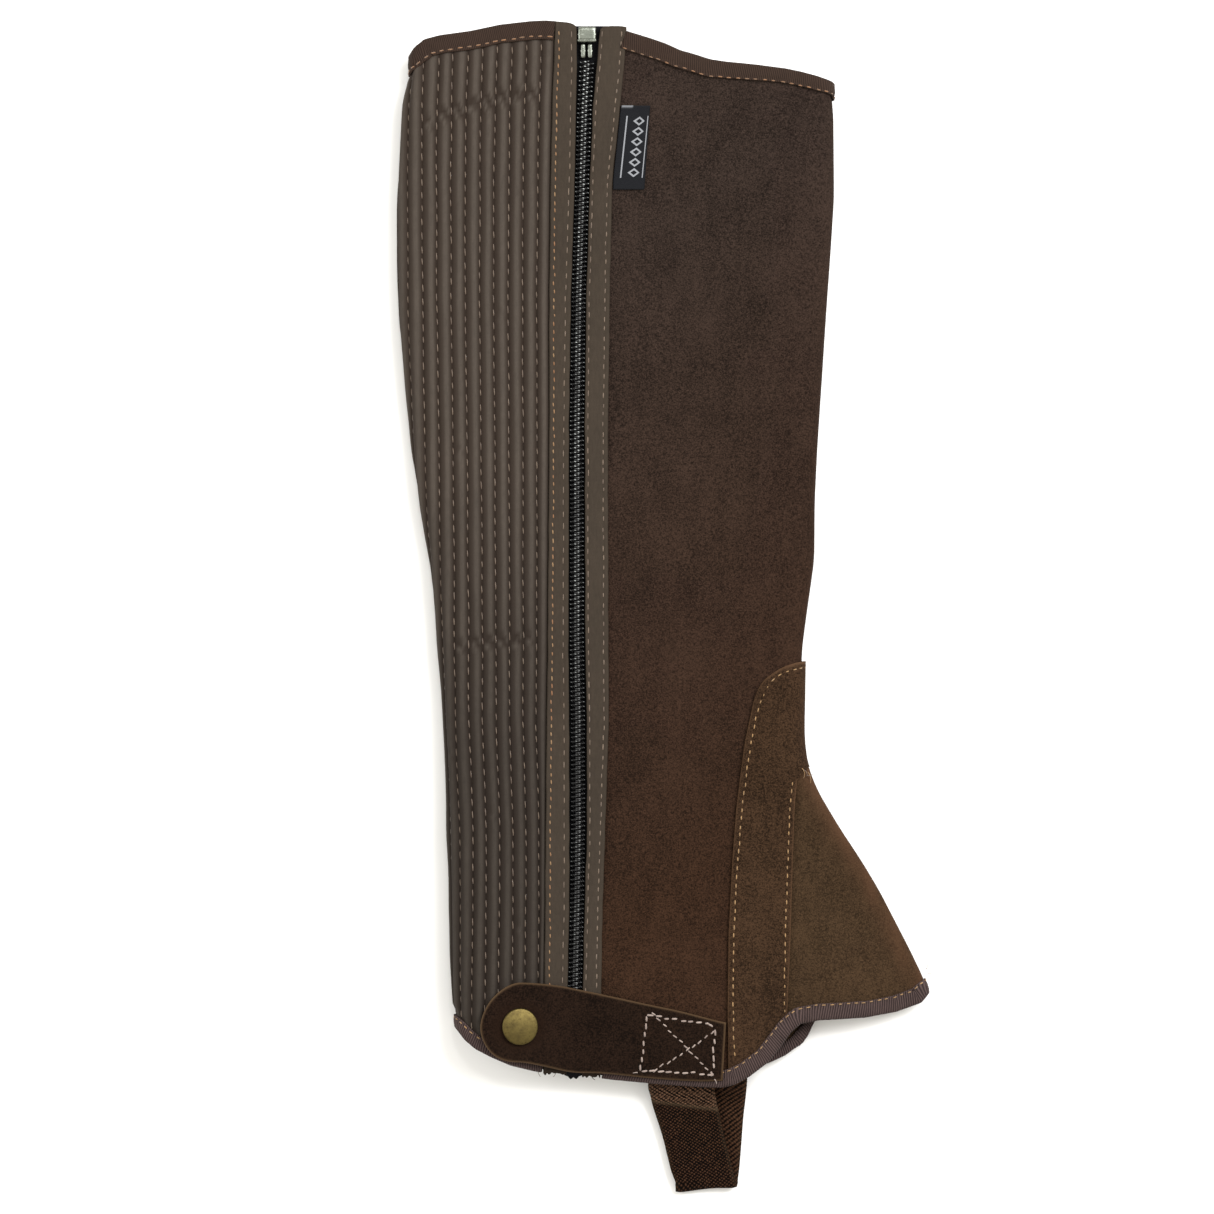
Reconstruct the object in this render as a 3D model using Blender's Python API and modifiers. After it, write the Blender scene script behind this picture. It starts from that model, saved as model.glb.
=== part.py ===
"""One half chap, zipped closed and laid flat: a flattened tube of suede and ribbed cloth.

Millimetres are used in every table and turned into metres when a mesh is made.
Height runs up the leg (+Y), across runs to the photo's right (+X), +Z is up off the floor.
The tube's wall is addressed by height and by arc: the distance along its outer face from the
middle of the zip, positive to the left round the calf, negative to the right round the shin.
Every cloth piece takes its points from the wall and moves them out or in along its normal.
"""

import math

import bmesh
import bpy
import numpy as np
from mathutils import Matrix, Vector

MM = 0.001
GAP = 0.3
WALL = 2.0
GUSSET_WALL = 1.6
RIB_HEIGHT = 1.0
OVERLAY_THICK = 1.2
BINDING_THICK = 0.8
BAND_THICK = 0.9
TAPE_THICK = 0.7
TAPE_HALF_WIDTH = 10.4
COIL_HALF_WIDTH = 2.85
COIL_TOP = 0.45
TAB_THICK = 1.8
LABEL_THICK = 0.6
STRAP_THICK = 1.5
APEX = -66.0
SNAP_AT = (-58.9, -172.0)
SNAP_RADIUS = 7.5
EDGE_LIFT = GAP + BINDING_THICK
OVERLAY_GAP = 0.5
OVERLAY_LIFT = OVERLAY_GAP + OVERLAY_THICK
EDGE_INSET = EDGE_LIFT + 0.25
SEAM_GAP = 0.9

# height, back fold, front fold, back thickness, back rounding,
# front thickness, front rounding, middle thickness
SECTIONS = (
    (244.8, -103.2, 68.9, 12.8, 6.5, 11.9, 6.2, 12.6),
    (216.0, -103.3, 68.9, 12.6, 6.5, 11.7, 6.2, 10.8),
    (208.0, -106.2, 68.9, 12.5, 6.5, 11.6, 6.1, 10.2),
    (203.8, -106.6, 69.7, 12.4, 6.5, 11.5, 6.1, 9.9),
    (166.9, -108.7, 69.9, 12.0, 6.5, 11.4, 6.0, 7.0),
    (142.3, -108.7, 68.3, 12.0, 6.6, 11.4, 6.0, 6.9),
    (117.7, -107.9, 66.6, 12.0, 6.8, 11.4, 6.0, 6.7),
    (93.1, -105.4, 65.0, 12.0, 6.9, 11.4, 6.0, 6.6),
    (68.5, -103.0, 63.3, 12.1, 7.0, 11.4, 6.0, 6.5),
    (43.9, -99.7, 62.1, 12.7, 7.3, 11.5, 6.3, 6.8),
    (19.3, -95.2, 61.9, 13.2, 7.6, 11.7, 6.6, 7.1),
    (-5.3, -92.7, 58.4, 13.8, 7.9, 12.0, 6.9, 7.4),
    (-17.6, -91.9, 56.8, 14.2, 8.1, 12.2, 7.0, 7.7),
    (-34.0, -90.2, 56.5, 15.2, 8.6, 12.8, 7.0, 8.3),
    (-54.5, -89.0, 56.1, 16.5, 9.2, 13.0, 7.0, 9.1),
    (-66.0, -88.6, 57.8, 17.2, 9.6, 13.0, 7.0, 9.5),
    (-79.1, -88.2, 65.4, 18.0, 10.0, 11.0, 5.6, 10.0),
    (-91.4, -88.1, 72.8, 18.6, 10.4, 9.8, 5.0, 10.6),
    (-103.7, -87.5, 81.0, 19.2, 10.8, 9.0, 4.6, 11.2),
    (-116.0, -87.0, 88.4, 19.8, 11.2, 8.8, 4.5, 11.8),
    (-140.6, -86.6, 101.1, 21.0, 12.0, 8.6, 4.3, 13.0),
    (-152.9, -86.1, 107.0, 21.2, 12.0, 8.4, 4.2, 13.4),
    (-157.0, -85.9, 108.4, 21.3, 12.0, 8.4, 4.2, 13.5),
    (-173.4, -84.5, 108.8, 21.5, 12.0, 8.4, 4.2, 14.1),
    (-202.1, -83.0, 108.8, 22.0, 12.0, 8.4, 4.2, 15.0),
)
# across, height of the bound edge
TOP_NEAR = (
    (-104.3, 225.5), (-101.5, 229.6), (-97.8, 232.5), (-91.6, 234.1), (-79.3, 235.8),
    (-67.0, 238.4), (-54.7, 239.8), (-48.6, 240.1), (-35.5, 239.2), (-26.0, 238.2),
    (-17.8, 237.4), (-15.0, 235.8), (-5.5, 232.9), (0.6, 230.8), (6.8, 228.0),
    (12.9, 226.3), (19.1, 224.3), (25.2, 223.4), (37.5, 222.2), (49.8, 220.6),
    (56.0, 219.3), (62.1, 217.7), (68.3, 215.7), (70.7, 214.0),
)
TOP_FAR = (
    (-104.3, 225.5), (-91.6, 221.0), (-67.0, 216.1), (-26.0, 212.0), (15.0, 210.3),
    (56.0, 211.1), (70.7, 214.0),
)
BOTTOM_NEAR = (
    (-85.5, -171.8), (-83.8, -173.8), (-81.0, -177.1), (-76.9, -180.4), (-70.3, -183.7),
    (-62.5, -187.0), (-51.9, -189.8), (-36.3, -191.5), (-19.5, -193.5), (-1.4, -195.2),
    (15.0, -196.4), (24.0, -196.6), (29.3, -195.2), (34.6, -192.3), (37.5, -190.2),
    (42.8, -186.1), (47.8, -180.0), (51.9, -174.2), (56.0, -170.6), (63.3, -169.1),
    (83.0, -168.1), (95.3, -166.0), (105.6, -162.4), (109.7, -157.8),
)
BOTTOM_FAR = (
    (-85.5, -171.8), (-79.3, -176.7), (-67.0, -182.4), (-50.6, -187.0), (-26.0, -190.2),
    (15.0, -192.3), (31.4, -191.1), (43.7, -187.2), (50.2, -184.1), (55.8, -180.0),
    (59.2, -175.5), (62.5, -169.7), (68.3, -166.9), (83.0, -165.2), (95.3, -163.2),
    (105.6, -160.3), (109.7, -157.8),
)
# height, left band's outer edge, its inner edge, right band's inner edge, its outer edge
ZIP = (
    (239.8, -44.5, -35.7, -25.9, -15.0),
    (224.3, -44.9, -35.5, -27.1, -15.9),
    (205.8, -45.7, -35.9, -28.9, -17.8),
    (175.1, -46.3, -36.5, -30.2, -21.0),
    (125.9, -46.9, -38.0, -31.7, -22.1),
    (72.6, -46.9, -38.8, -32.3, -22.8),
    (-13.5, -47.5, -39.0, -32.1, -22.6),
    (-46.3, -48.0, -38.7, -31.5, -22.4),
    (-91.4, -48.5, -38.6, -31.4, -23.9),
    (-122.2, -48.6, -38.7, -32.3, -25.0),
    (-155.0, -49.0, -39.4, -33.1, -25.5),
    (-202.1, -49.4, -40.0, -33.6, -26.0),
)
# height, first stitch line's distance from the left band, distance between stitch lines
RIBS = (
    (239.8, 5.3, 6.0), (175.1, 5.3, 5.97), (72.6, 4.96, 5.81), (-13.5, 4.5, 5.7),
    (-46.3, 4.3, 5.65), (-91.4, 2.6, 5.55), (-202.1, 2.5, 5.5),
)
RIB_COUNT = 15
# height, overlay's left edge, its right edge over the gusset, the seam below it
ANKLE = (
    (-22.1, 37.7, 58.4, 57.8), (-38.1, 37.1, 58.4, 57.8), (-55.3, 33.4, 58.4, 57.8),
    (-66.0, 31.9, 58.4, 57.8), (-68.5, 31.6, 56.0, 54.9), (-70.5, 31.3, 54.5, 53.1),
    (-82.8, 29.7, 53.6, 52.0), (-104.5, 28.0, 52.7, 51.0), (-134.1, 26.5, 51.9, 50.2),
    (-163.6, 26.1, 50.6, 49.0), (-179.6, 26.3, 49.4, 47.8), (-205.0, 26.4, 48.6, 46.9),
)
# across, height of the overlay's top edge
OVERLAY_TOP = (
    (35.5, -38.1), (37.5, -36.5), (40.4, -31.0), (44.5, -27.5), (49.8, -24.2), (57.2, -22.1),
    (60.9, -22.1),
)
# across, top edge, bottom edge, lift of the snap tab's underside off the panel
TAB = (
    (-74.0, -171.2, -173.0, 3.3), (-73.2, -165.2, -176.7, 3.35), (-71.1, -159.9, -180.4, 3.4),
    (-67.9, -156.2, -183.2, 3.4), (-62.9, -154.2, -185.4, 3.4), (-58.9, -154.0, -186.4, 3.4),
    (-50.0, -154.8, -188.1, 3.3), (-41.2, -156.0, -189.3, 3.0), (-30.0, -158.2, -190.6, 2.8),
    (-18.0, -160.8, -192.1, 2.3), (-7.2, -163.2, -193.3, 1.8), (6.4, -166.0, -194.4, 1.5),
    (16.0, -168.5, -194.8, 1.45), (23.6, -170.5, -194.6, 1.45), (25.4, -171.0, -194.4, 1.45),
)


def column(table, at, which=1):
    """The table's column, interpolated at values of its first column."""
    rows = np.array(sorted(table), float)
    return np.interp(at, rows[:, 0], rows[:, which])


def soft(table, at, which):
    """The same, averaged over 8 mm so that a wall has no creases at the table's rows."""
    reach = (-4.0, -2.0, 0.0, 2.0, 4.0)
    return sum(column(table, np.asarray(at) + step, which) for step in reach) / len(reach)


def ease(value):
    """0 below 0, 1 above 1 and a smooth S between."""
    value = np.clip(value, 0.0, 1.0)
    return value * value * (3.0 - 2.0 * value)


def far_lift(height, across):
    """How far the wall below is held off the floor by its bindings and the overlay's far leg."""
    from_top = column(TOP_FAR, across) - height
    from_bottom = height - column(BOTTOM_FAR, across)
    edge = 1.0 - ease((np.minimum(from_top, from_bottom) - 8.0) / 9.0)
    left = column(ANKLE, height, 1)
    right = column(ANKLE, height, 2)
    patch = ease((across - left + 7.0) / 6.0) * ease((right + 11.0 - across) / 6.0)
    patch = np.where(height > APEX, ease((across - left + 7.0) / 6.0), patch)
    patch = patch * ease((-15.0 - height) / 6.0)
    return EDGE_LIFT * edge + OVERLAY_LIFT * patch


HEIGHTS = np.arange(250.0, -208.0, -1.0)
ARC_FIRST, ARC_STEP = -320.0, 0.5
ACROSS_FIRST, ACROSS_STEP = -112.0, 0.5
ARCS = ARC_FIRST + ARC_STEP * np.arange(1281)
ACROSS = ACROSS_FIRST + ACROSS_STEP * np.arange(449)


def section(height):
    """The tube's outline at one height: across and up from the front fold, over and back under."""
    back, front, back_thick, back_round, front_thick, front_round, middle = (
        float(soft(SECTIONS, height, which)) for which in range(1, 8)
    )
    turn = np.linspace(0.0, math.pi / 2.0, 15)
    flat = np.linspace(back + back_round, front - front_round, 161)[1:-1]
    over = middle + (back_thick - middle) * (1.0 - ease((flat - flat[0]) / 38.0))
    over += (front_thick - middle) * (1.0 - ease((flat[-1] - flat) / 34.0))
    back_x = back + back_round * (1.0 - np.cos(turn))
    front_x = front - front_round * (1.0 - np.cos(turn))
    top_x = np.concatenate([front_x, flat[::-1], back_x[::-1]])
    top_z = np.concatenate([
        front_thick / 2.0 * (1.0 + np.sin(turn)),
        over[::-1],
        back_thick / 2.0 * (1.0 + np.sin(turn[::-1])),
    ])
    under_x = np.concatenate([back_x[1:], flat, front_x[::-1]])
    under_z = np.concatenate([
        back_thick / 2.0 * (1.0 - np.sin(turn[1:])),
        np.zeros(len(flat)),
        front_thick / 2.0 * (1.0 - np.sin(turn[::-1])),
    ])
    weight = np.concatenate([np.sin(turn[1:]), np.ones(len(flat)), np.sin(turn[::-1])])
    under_z += far_lift(height, under_x) * weight
    return np.concatenate([top_x, under_x]), np.concatenate([top_z, under_z]), len(top_x)


def build_tables():
    """Grids of the wall by height and arc, and of arc by height and across, above and below."""
    wall_x, wall_z, arc_top, arc_under, ends = [], [], [], [], []
    for height in HEIGHTS:
        x, z, top = section(height)
        run = np.concatenate([[0.0], np.cumsum(np.hypot(np.diff(x), np.diff(z)))])
        middle = 0.5 * (column(ZIP, height, 2) + column(ZIP, height, 3))
        zero = np.interp(-middle, -x[:top], run[:top])
        run = run - zero
        total = run[-1] - run[0]
        wall_x.append(np.interp(ARCS, run, x, period=total))
        wall_z.append(np.interp(ARCS, run, z, period=total))
        arc_top.append(np.interp(-ACROSS, -x[:top], run[:top]))
        arc_under.append(np.interp(ACROSS, x[top - 1:], run[top - 1:]))
        ends.append((run[0], run[top - 1], total))
    return [np.array(grid) for grid in (wall_x, wall_z, arc_top, arc_under, ends)]


WALL_X, WALL_Z, ARC_TOP, ARC_UNDER, ENDS = build_tables()


def look(grid, height, at, first, step):
    """Bilinear value of a grid of heights by positions."""
    i = np.clip(HEIGHTS[0] - height, 0.0, len(HEIGHTS) - 1.001)
    j = np.clip((at - first) / step, 0.0, grid.shape[1] - 1.001)
    i0 = i.astype(int)
    j0 = j.astype(int)
    u = i - i0
    v = j - j0
    upper = grid[i0, j0] * (1.0 - v) + grid[i0, j0 + 1] * v
    lower = grid[i0 + 1, j0] * (1.0 - v) + grid[i0 + 1, j0 + 1] * v
    return upper * (1.0 - u) + lower * u


def surface(height, arc):
    x = look(WALL_X, height, arc, ARC_FIRST, ARC_STEP)
    z = look(WALL_Z, height, arc, ARC_FIRST, ARC_STEP)
    return np.stack([x, height, z], axis=-1)


def wall(height, arc, out):
    """Points of the wall's outer face moved out along its normal."""
    height, arc, out = np.broadcast_arrays(
        *(np.asarray(value, float) for value in (height, arc, out))
    )
    along = surface(height, arc + 0.6) - surface(height, arc - 0.6)
    down = surface(height - 2.0, arc) - surface(height + 2.0, arc)
    normal = np.cross(along, down)
    normal /= np.linalg.norm(normal, axis=-1, keepdims=True)
    return surface(height, arc) + normal * out[..., None]


def fold(height, which):
    """Arc of the front fold (0) or back fold (1), or the whole way round (2)."""
    return np.interp(-np.asarray(height, float), -HEIGHTS, ENDS[:, which])


def over(height, across):
    """Arc of a point on the side that faces up."""
    height, across = np.broadcast_arrays(
        np.asarray(height, float), np.asarray(across, float)
    )
    return look(ARC_TOP, height, across, ACROSS_FIRST, ACROSS_STEP)


def under(height, across):
    """Arc of a point on the side that lies on the floor, the long way round the calf."""
    height, across = np.broadcast_arrays(
        np.asarray(height, float), np.asarray(across, float)
    )
    return look(ARC_UNDER, height, across, ACROSS_FIRST, ACROSS_STEP)


def edge_height(near, far, arc_at, guess, inset, sign):
    """Height where the column of arcs meets an edge, moved in by inset (sign +1 is a top edge)."""
    height = np.asarray(guess, float)
    for _ in range(12):
        arc = arc_at(height)
        is_far = (arc > fold(height, 1)) | (arc < fold(height, 0))
        across = look(WALL_X, height, arc, ARC_FIRST, ARC_STEP)
        values = []
        for table in (near, far):
            slope = (column(table, across + 1.0) - column(table, across - 1.0)) / 2.0
            stretch = np.minimum(np.sqrt(1.0 + slope * slope), 1.9)
            values.append(column(table, across) - sign * inset * stretch)
        wanted = np.where(is_far, values[1], values[0])
        height = 0.5 * height + 0.5 * wanted
    return height


def top_height(arc_at, inset=EDGE_INSET, count=1):
    return edge_height(TOP_NEAR, TOP_FAR, arc_at, np.full(count, 225.0), inset, 1.0)


def bottom_height(arc_at, inset=EDGE_INSET, count=1):
    return edge_height(BOTTOM_NEAR, BOTTOM_FAR, arc_at, np.full(count, -180.0), inset, -1.0)


def clear_scene():
    for obj in list(bpy.data.objects):
        bpy.data.objects.remove(obj, do_unlink=True)


def material(name, color, roughness, metallic=0.0):
    made = bpy.data.materials.new(name)
    made.use_nodes = True
    shader = made.node_tree.nodes["Principled BSDF"]
    shader.inputs["Base Color"].default_value = (*color, 1.0)
    shader.inputs["Roughness"].default_value = roughness
    shader.inputs["Metallic"].default_value = metallic
    return made


def add_mesh(name, points, faces, made_of):
    """A closed mesh from points in millimetres, with its faces turned outwards."""
    mesh = bpy.data.meshes.new(name)
    mesh.from_pydata([tuple(p) for p in np.asarray(points) * MM], [], faces)
    work = bmesh.new()
    work.from_mesh(mesh)
    bmesh.ops.recalc_face_normals(work, faces=work.faces)
    work.to_mesh(mesh)
    work.free()
    mesh.materials.append(made_of)
    obj = bpy.data.objects.new(name, mesh)
    bpy.data.collections["half_chap"].objects.link(obj)
    return obj


def sheet(name, height, arc, outer, inner, quads, made_of):
    """A wall of cloth: the same net of points moved out and in, joined round its rim."""
    count = len(height)
    points = np.concatenate([wall(height, arc, outer), wall(height, arc, inner)])
    faces = [tuple(quad) for quad in quads]
    faces += [tuple(count + i for i in reversed(quad)) for quad in quads]
    sides = {}
    for quad in quads:
        for a, b in zip(quad, quad[1:] + quad[:1]):
            if (b, a) in sides:
                del sides[(b, a)]
            else:
                sides[(a, b)] = True
    faces += [(b, a, count + a, count + b) for a, b in sides]
    return add_mesh(name, points, faces, made_of)


def loft(name, rings, made_of):
    """A solid through a row of closed rings with the same number of points."""
    rings = np.asarray(rings, float)
    rows, size = rings.shape[:2]
    faces = [tuple(reversed(range(size))), tuple((rows - 1) * size + i for i in range(size))]
    for row in range(rows - 1):
        for i in range(size):
            j = (i + 1) % size
            base = row * size
            faces.append((base + i, base + j, base + size + j, base + size + i))
    return add_mesh(name, rings.reshape(-1, 3), faces, made_of)


def net(rows, columns):
    return [
        [r * columns + c, r * columns + c + 1, (r + 1) * columns + c + 1, (r + 1) * columns + c]
        for r in range(rows - 1)
        for c in range(columns - 1)
    ]


def spread(top, bottom, insets, steps):
    """Heights from top to bottom: fixed insets at both ends and even steps between."""
    insets = np.asarray(insets)
    head = top - insets
    tail = bottom + insets
    part = np.linspace(0.0, 1.0, steps + 2)[1:-1]
    body = head[-1] + part * (tail[-1] - head[-1])
    return np.concatenate([head, body, tail[::-1]])


def rib_arc(height, phase):
    """Arc of a place in the ribs: whole phases are stitch lines, negative ones lie by the zip."""
    start = over(height, column(ZIP, height, 1))
    first = column(RIBS, height, 1)
    pitch = column(RIBS, height, 2)
    if phase < 0.0:
        return start + first * (1.0 + phase)
    return start + first + phase * pitch


def back_end(height):
    """Arc of the seam on the floor side where the ribbed panel meets the suede."""
    return rib_arc(height, float(RIB_COUNT))


def ribbed_panel(made_of):
    phases = [-1.0, -0.5]
    for rib in range(12):
        phases += [rib, rib + 0.3, rib + 0.7]
    phases += [12, 13, 14, RIB_COUNT]
    rises = [0.0, 0.6]
    rises += [0.0, 0.9, 0.9] * 12
    rises += [0.0] * 4
    columns = []
    for part in (0.0, 0.33, 0.67):
        columns.append(lambda h, p=part: over(
            h, (column(ZIP, h, 2) - GAP) * (1.0 - p) + column(ZIP, h, 1) * p))
    columns += [lambda h, p=phase: rib_arc(h, float(p)) for phase in phases]
    rises = [0.0, 0.0, 0.0] + rises
    tops = np.array([top_height(arc_at)[0] for arc_at in columns])
    bottoms = np.array([bottom_height(arc_at)[0] for arc_at in columns])
    places = np.array([arc_at(np.array([225.0]))[0] for arc_at in columns])
    lean_top = np.hypot(1.0, np.gradient(tops, places))
    places = np.array([arc_at(np.array([-180.0]))[0] for arc_at in columns])
    lean_bottom = np.hypot(1.0, np.gradient(bottoms, places))
    height, arc, rise = [], [], []
    for i, (arc_at, lift) in enumerate(zip(columns, rises)):
        top = tops[i]
        bottom = bottoms[i]
        at = spread(top, bottom, (0.0, 8.0, 13.0), 15)
        arcs = arc_at(at)
        inside = np.minimum((top - at) / lean_top[i], (at - bottom) / lean_bottom[i])
        facing = ease((wall(at, arcs, 1.0) - wall(at, arcs, 0.0))[:, 2] * 2.0 + 1.0)
        height.append(at)
        arc.append(arcs)
        rise.append(RIB_HEIGHT * lift * ease((inside - 6.9) / 4.0) * facing)
    height = np.array(height).T
    rows, count = height.shape
    outer = np.array(rise).T.ravel()
    inner = np.full(rows * count, -WALL)
    sheet("ribbed_panel", height.ravel(), np.array(arc).T.ravel(), outer, inner,
          net(rows, count), made_of)


FRONT_STEPS = (0.0, 2.2, 4.4, 6.8, 9.5, 13.5)
UPPER_ROWS = (0.0, 0.024, 0.05, 0.1, 0.2, 0.3, 0.41, 0.51, 0.6, 0.69, 0.77, 0.81, 0.845, 0.885, 0.92,
              0.95, 0.975, 1.0)
LOWER_ROWS = (0.008, 0.02, 0.045, 0.11, 0.23, 0.38, 0.53, 0.68, 0.83)


def two_legs(name, left, bounds, tops, bottoms, outer, inner, made_of, parts=(0.5, 1.0),
             rows=UPPER_ROWS):
    """A panel round the front fold that parts into a near and a far leg below the apex.

    left(side, height) and bounds(side, height) give arcs; side 0 is above, 1 is on the floor.
    """
    keys, height, arc = {}, [], []
    quads = []
    for side in (0, 1):
        places = [(0.0, step) for step in FRONT_STEPS]
        places += [(part, 0.0) for part in parts]
        count = len(places)

        def arc_at(h, place, side=side):
            part, step = place
            turn = 1.0 if side == 0 else -1.0
            start = bounds(side, h)
            end = left(side, h)
            reach = np.minimum(FRONT_STEPS[-1], 0.6 * np.abs(end - start))
            if part == 0.0:
                return start + turn * step / FRONT_STEPS[-1] * reach
            near = start + turn * reach
            return near + (end - near) * part

        table = []
        for c, place in enumerate(places):
            line = lambda h, p=place: arc_at(h, p)
            top = tops(line)
            bottom = bottoms(line)
            above = top + (APEX - top) * np.array(rows)
            below = APEX + (bottom - APEX) * np.array(LOWER_ROWS + (1.0,))
            at = np.concatenate([above, below])
            arcs = line(at)
            indices = []
            for r in range(len(at)):
                shared = c == 0 and r < len(rows)
                key = (0 if shared else side, r, c)
                if key not in keys:
                    keys[key] = len(height)
                    height.append(at[r])
                    arc.append(arcs[r])
                indices.append(keys[key])
            table.append(indices)
        for c in range(count - 1):
            for r in range(len(table[0]) - 1):
                quad = [table[c][r], table[c + 1][r], table[c + 1][r + 1], table[c][r + 1]]
                quads.append(quad if side == 0 else quad[::-1])
    height = np.array(height)
    arc = np.array(arc)
    sheet(name, height, arc, np.full(len(height), outer), np.full(len(height), inner),
          quads, made_of)


def seam_arc(side, height, which, shift=0.0):
    """Arc of the front opening's side: the front fold above the apex, a column of ANKLE below."""
    height = np.asarray(height, float)
    above = over(height, column(ANKLE, height, which)) + shift
    below = under(height, column(ANKLE, height, which)) - fold(height, 2) - shift
    opened = above if side == 0 else below
    front = fold(height, 0)
    held = np.maximum(opened, front) if side == 0 else np.minimum(opened, front)
    return np.where(height >= APEX, front, held)


def suede_panel(made_of):
    def left(side, height):
        if side == 0:
            return over(height, column(ZIP, height, 3) + GAP)
        return back_end(height) + SEAM_GAP - fold(height, 2)

    two_legs("suede_panel", left, lambda side, h: seam_arc(side, h, 3),
             lambda line: top_height(line)[0], lambda line: bottom_height(line)[0],
             0.0, -WALL, made_of, parts=(0.08, 0.17, 0.27, 0.38, 0.52, 0.75, 1.0))


def ankle_overlay(made_of):
    def left(side, height):
        if side == 0:
            return over(height, column(ANKLE, height, 1))
        return under(height, column(ANKLE, height, 1) + 2.0) - fold(height, 2)

    def top(line):
        height = -30.0
        for _ in range(12):
            across = look(WALL_X, np.array([height]), np.ravel(line(np.array([height]))),
                          ARC_FIRST, ARC_STEP)[0]
            height = 0.5 * height + 0.5 * float(column(OVERLAY_TOP, across))
        return height

    two_legs("ankle_overlay", left, lambda side, h: seam_arc(side, h, 2),
             top, lambda line: bottom_height(line)[0],
             OVERLAY_LIFT, OVERLAY_GAP, made_of, parts=(0.33, 0.67, 1.0),
             rows=(0.0, 0.25, 0.5, 0.7, 0.85, 1.0))


def instep_gusset(made_of):
    """The folded wedge that fills the front opening, cut off just below its point."""
    parts = np.array([0.0, 0.05, 0.14, 0.28, 0.42, 0.56, 0.70, 0.84, 0.9, 0.95, 1.0])
    shares = np.array([0.0, 0.035, 0.075, 0.12, 0.16, 0.2, 0.25, 0.31, 0.43, 0.58, 0.73, 0.87, 0.93, 0.97, 1.0])
    height, arc = [], []
    for side in (0, 1):
        for share in (shares if side == 0 else shares[::-1][1:]):
            def line(h, side=side, share=share):
                shift = -GAP if side == 0 else -GAP
                start = seam_arc(side, h, 3, shift)
                return start + (fold(h, 0) - start) * share

            bottom = bottom_height(line, EDGE_INSET + 0.2)[0]
            at = APEX - 3.2 + (bottom - APEX + 3.2) * parts
            height.append(at)
            arc.append(line(at))
    height = np.array(height).T
    rows, count = height.shape
    sheet("instep_gusset", height.ravel(), np.array(arc).T.ravel(), np.zeros(rows * count),
          np.full(rows * count, -GUSSET_WALL), net(rows, count), made_of)


def binding(name, arcs, heights, sign, width, raise_out, raise_in, made_of):
    """A strip folded over an edge: outer leaf, fold and inner leaf, swept along the edge."""
    arcs = np.asarray(arcs, float)
    d_arc = np.gradient(arcs)
    d_height = np.gradient(heights)
    length = np.hypot(d_arc, d_height)
    inward = np.stack([-d_height, d_arc], axis=-1) / length[:, None]
    flip = np.where(inward[:, 1] * sign > 0.0, -1.0, 1.0)
    inward *= flip[:, None]
    thick = BINDING_THICK
    rings = []
    for i, arc in enumerate(arcs):
        lo = GAP + raise_out[i]
        li = -WALL - GAP + raise_in[i]
        leaf = width[i]
        ring = (
            (leaf, lo), (0.65 * leaf, lo), (0.3 * leaf, lo), (-GAP, lo), (-GAP, li),
            (leaf - 1.0, li), (leaf - 1.0, li - 0.6), (-GAP - 0.5, li - 0.6),
            (-GAP - thick, li + 0.2), (-GAP - thick, lo + 0.3), (-GAP - 0.4, lo + thick),
            (0.3 * leaf, lo + thick), (0.65 * leaf, lo + thick), (leaf, lo + thick),
        )
        step = np.array(ring)
        rings.append(wall(heights[i] + inward[i, 1] * step[:, 0],
                          arc + inward[i, 0] * step[:, 0], step[:, 1]))
    loft(name, rings, made_of)


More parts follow.
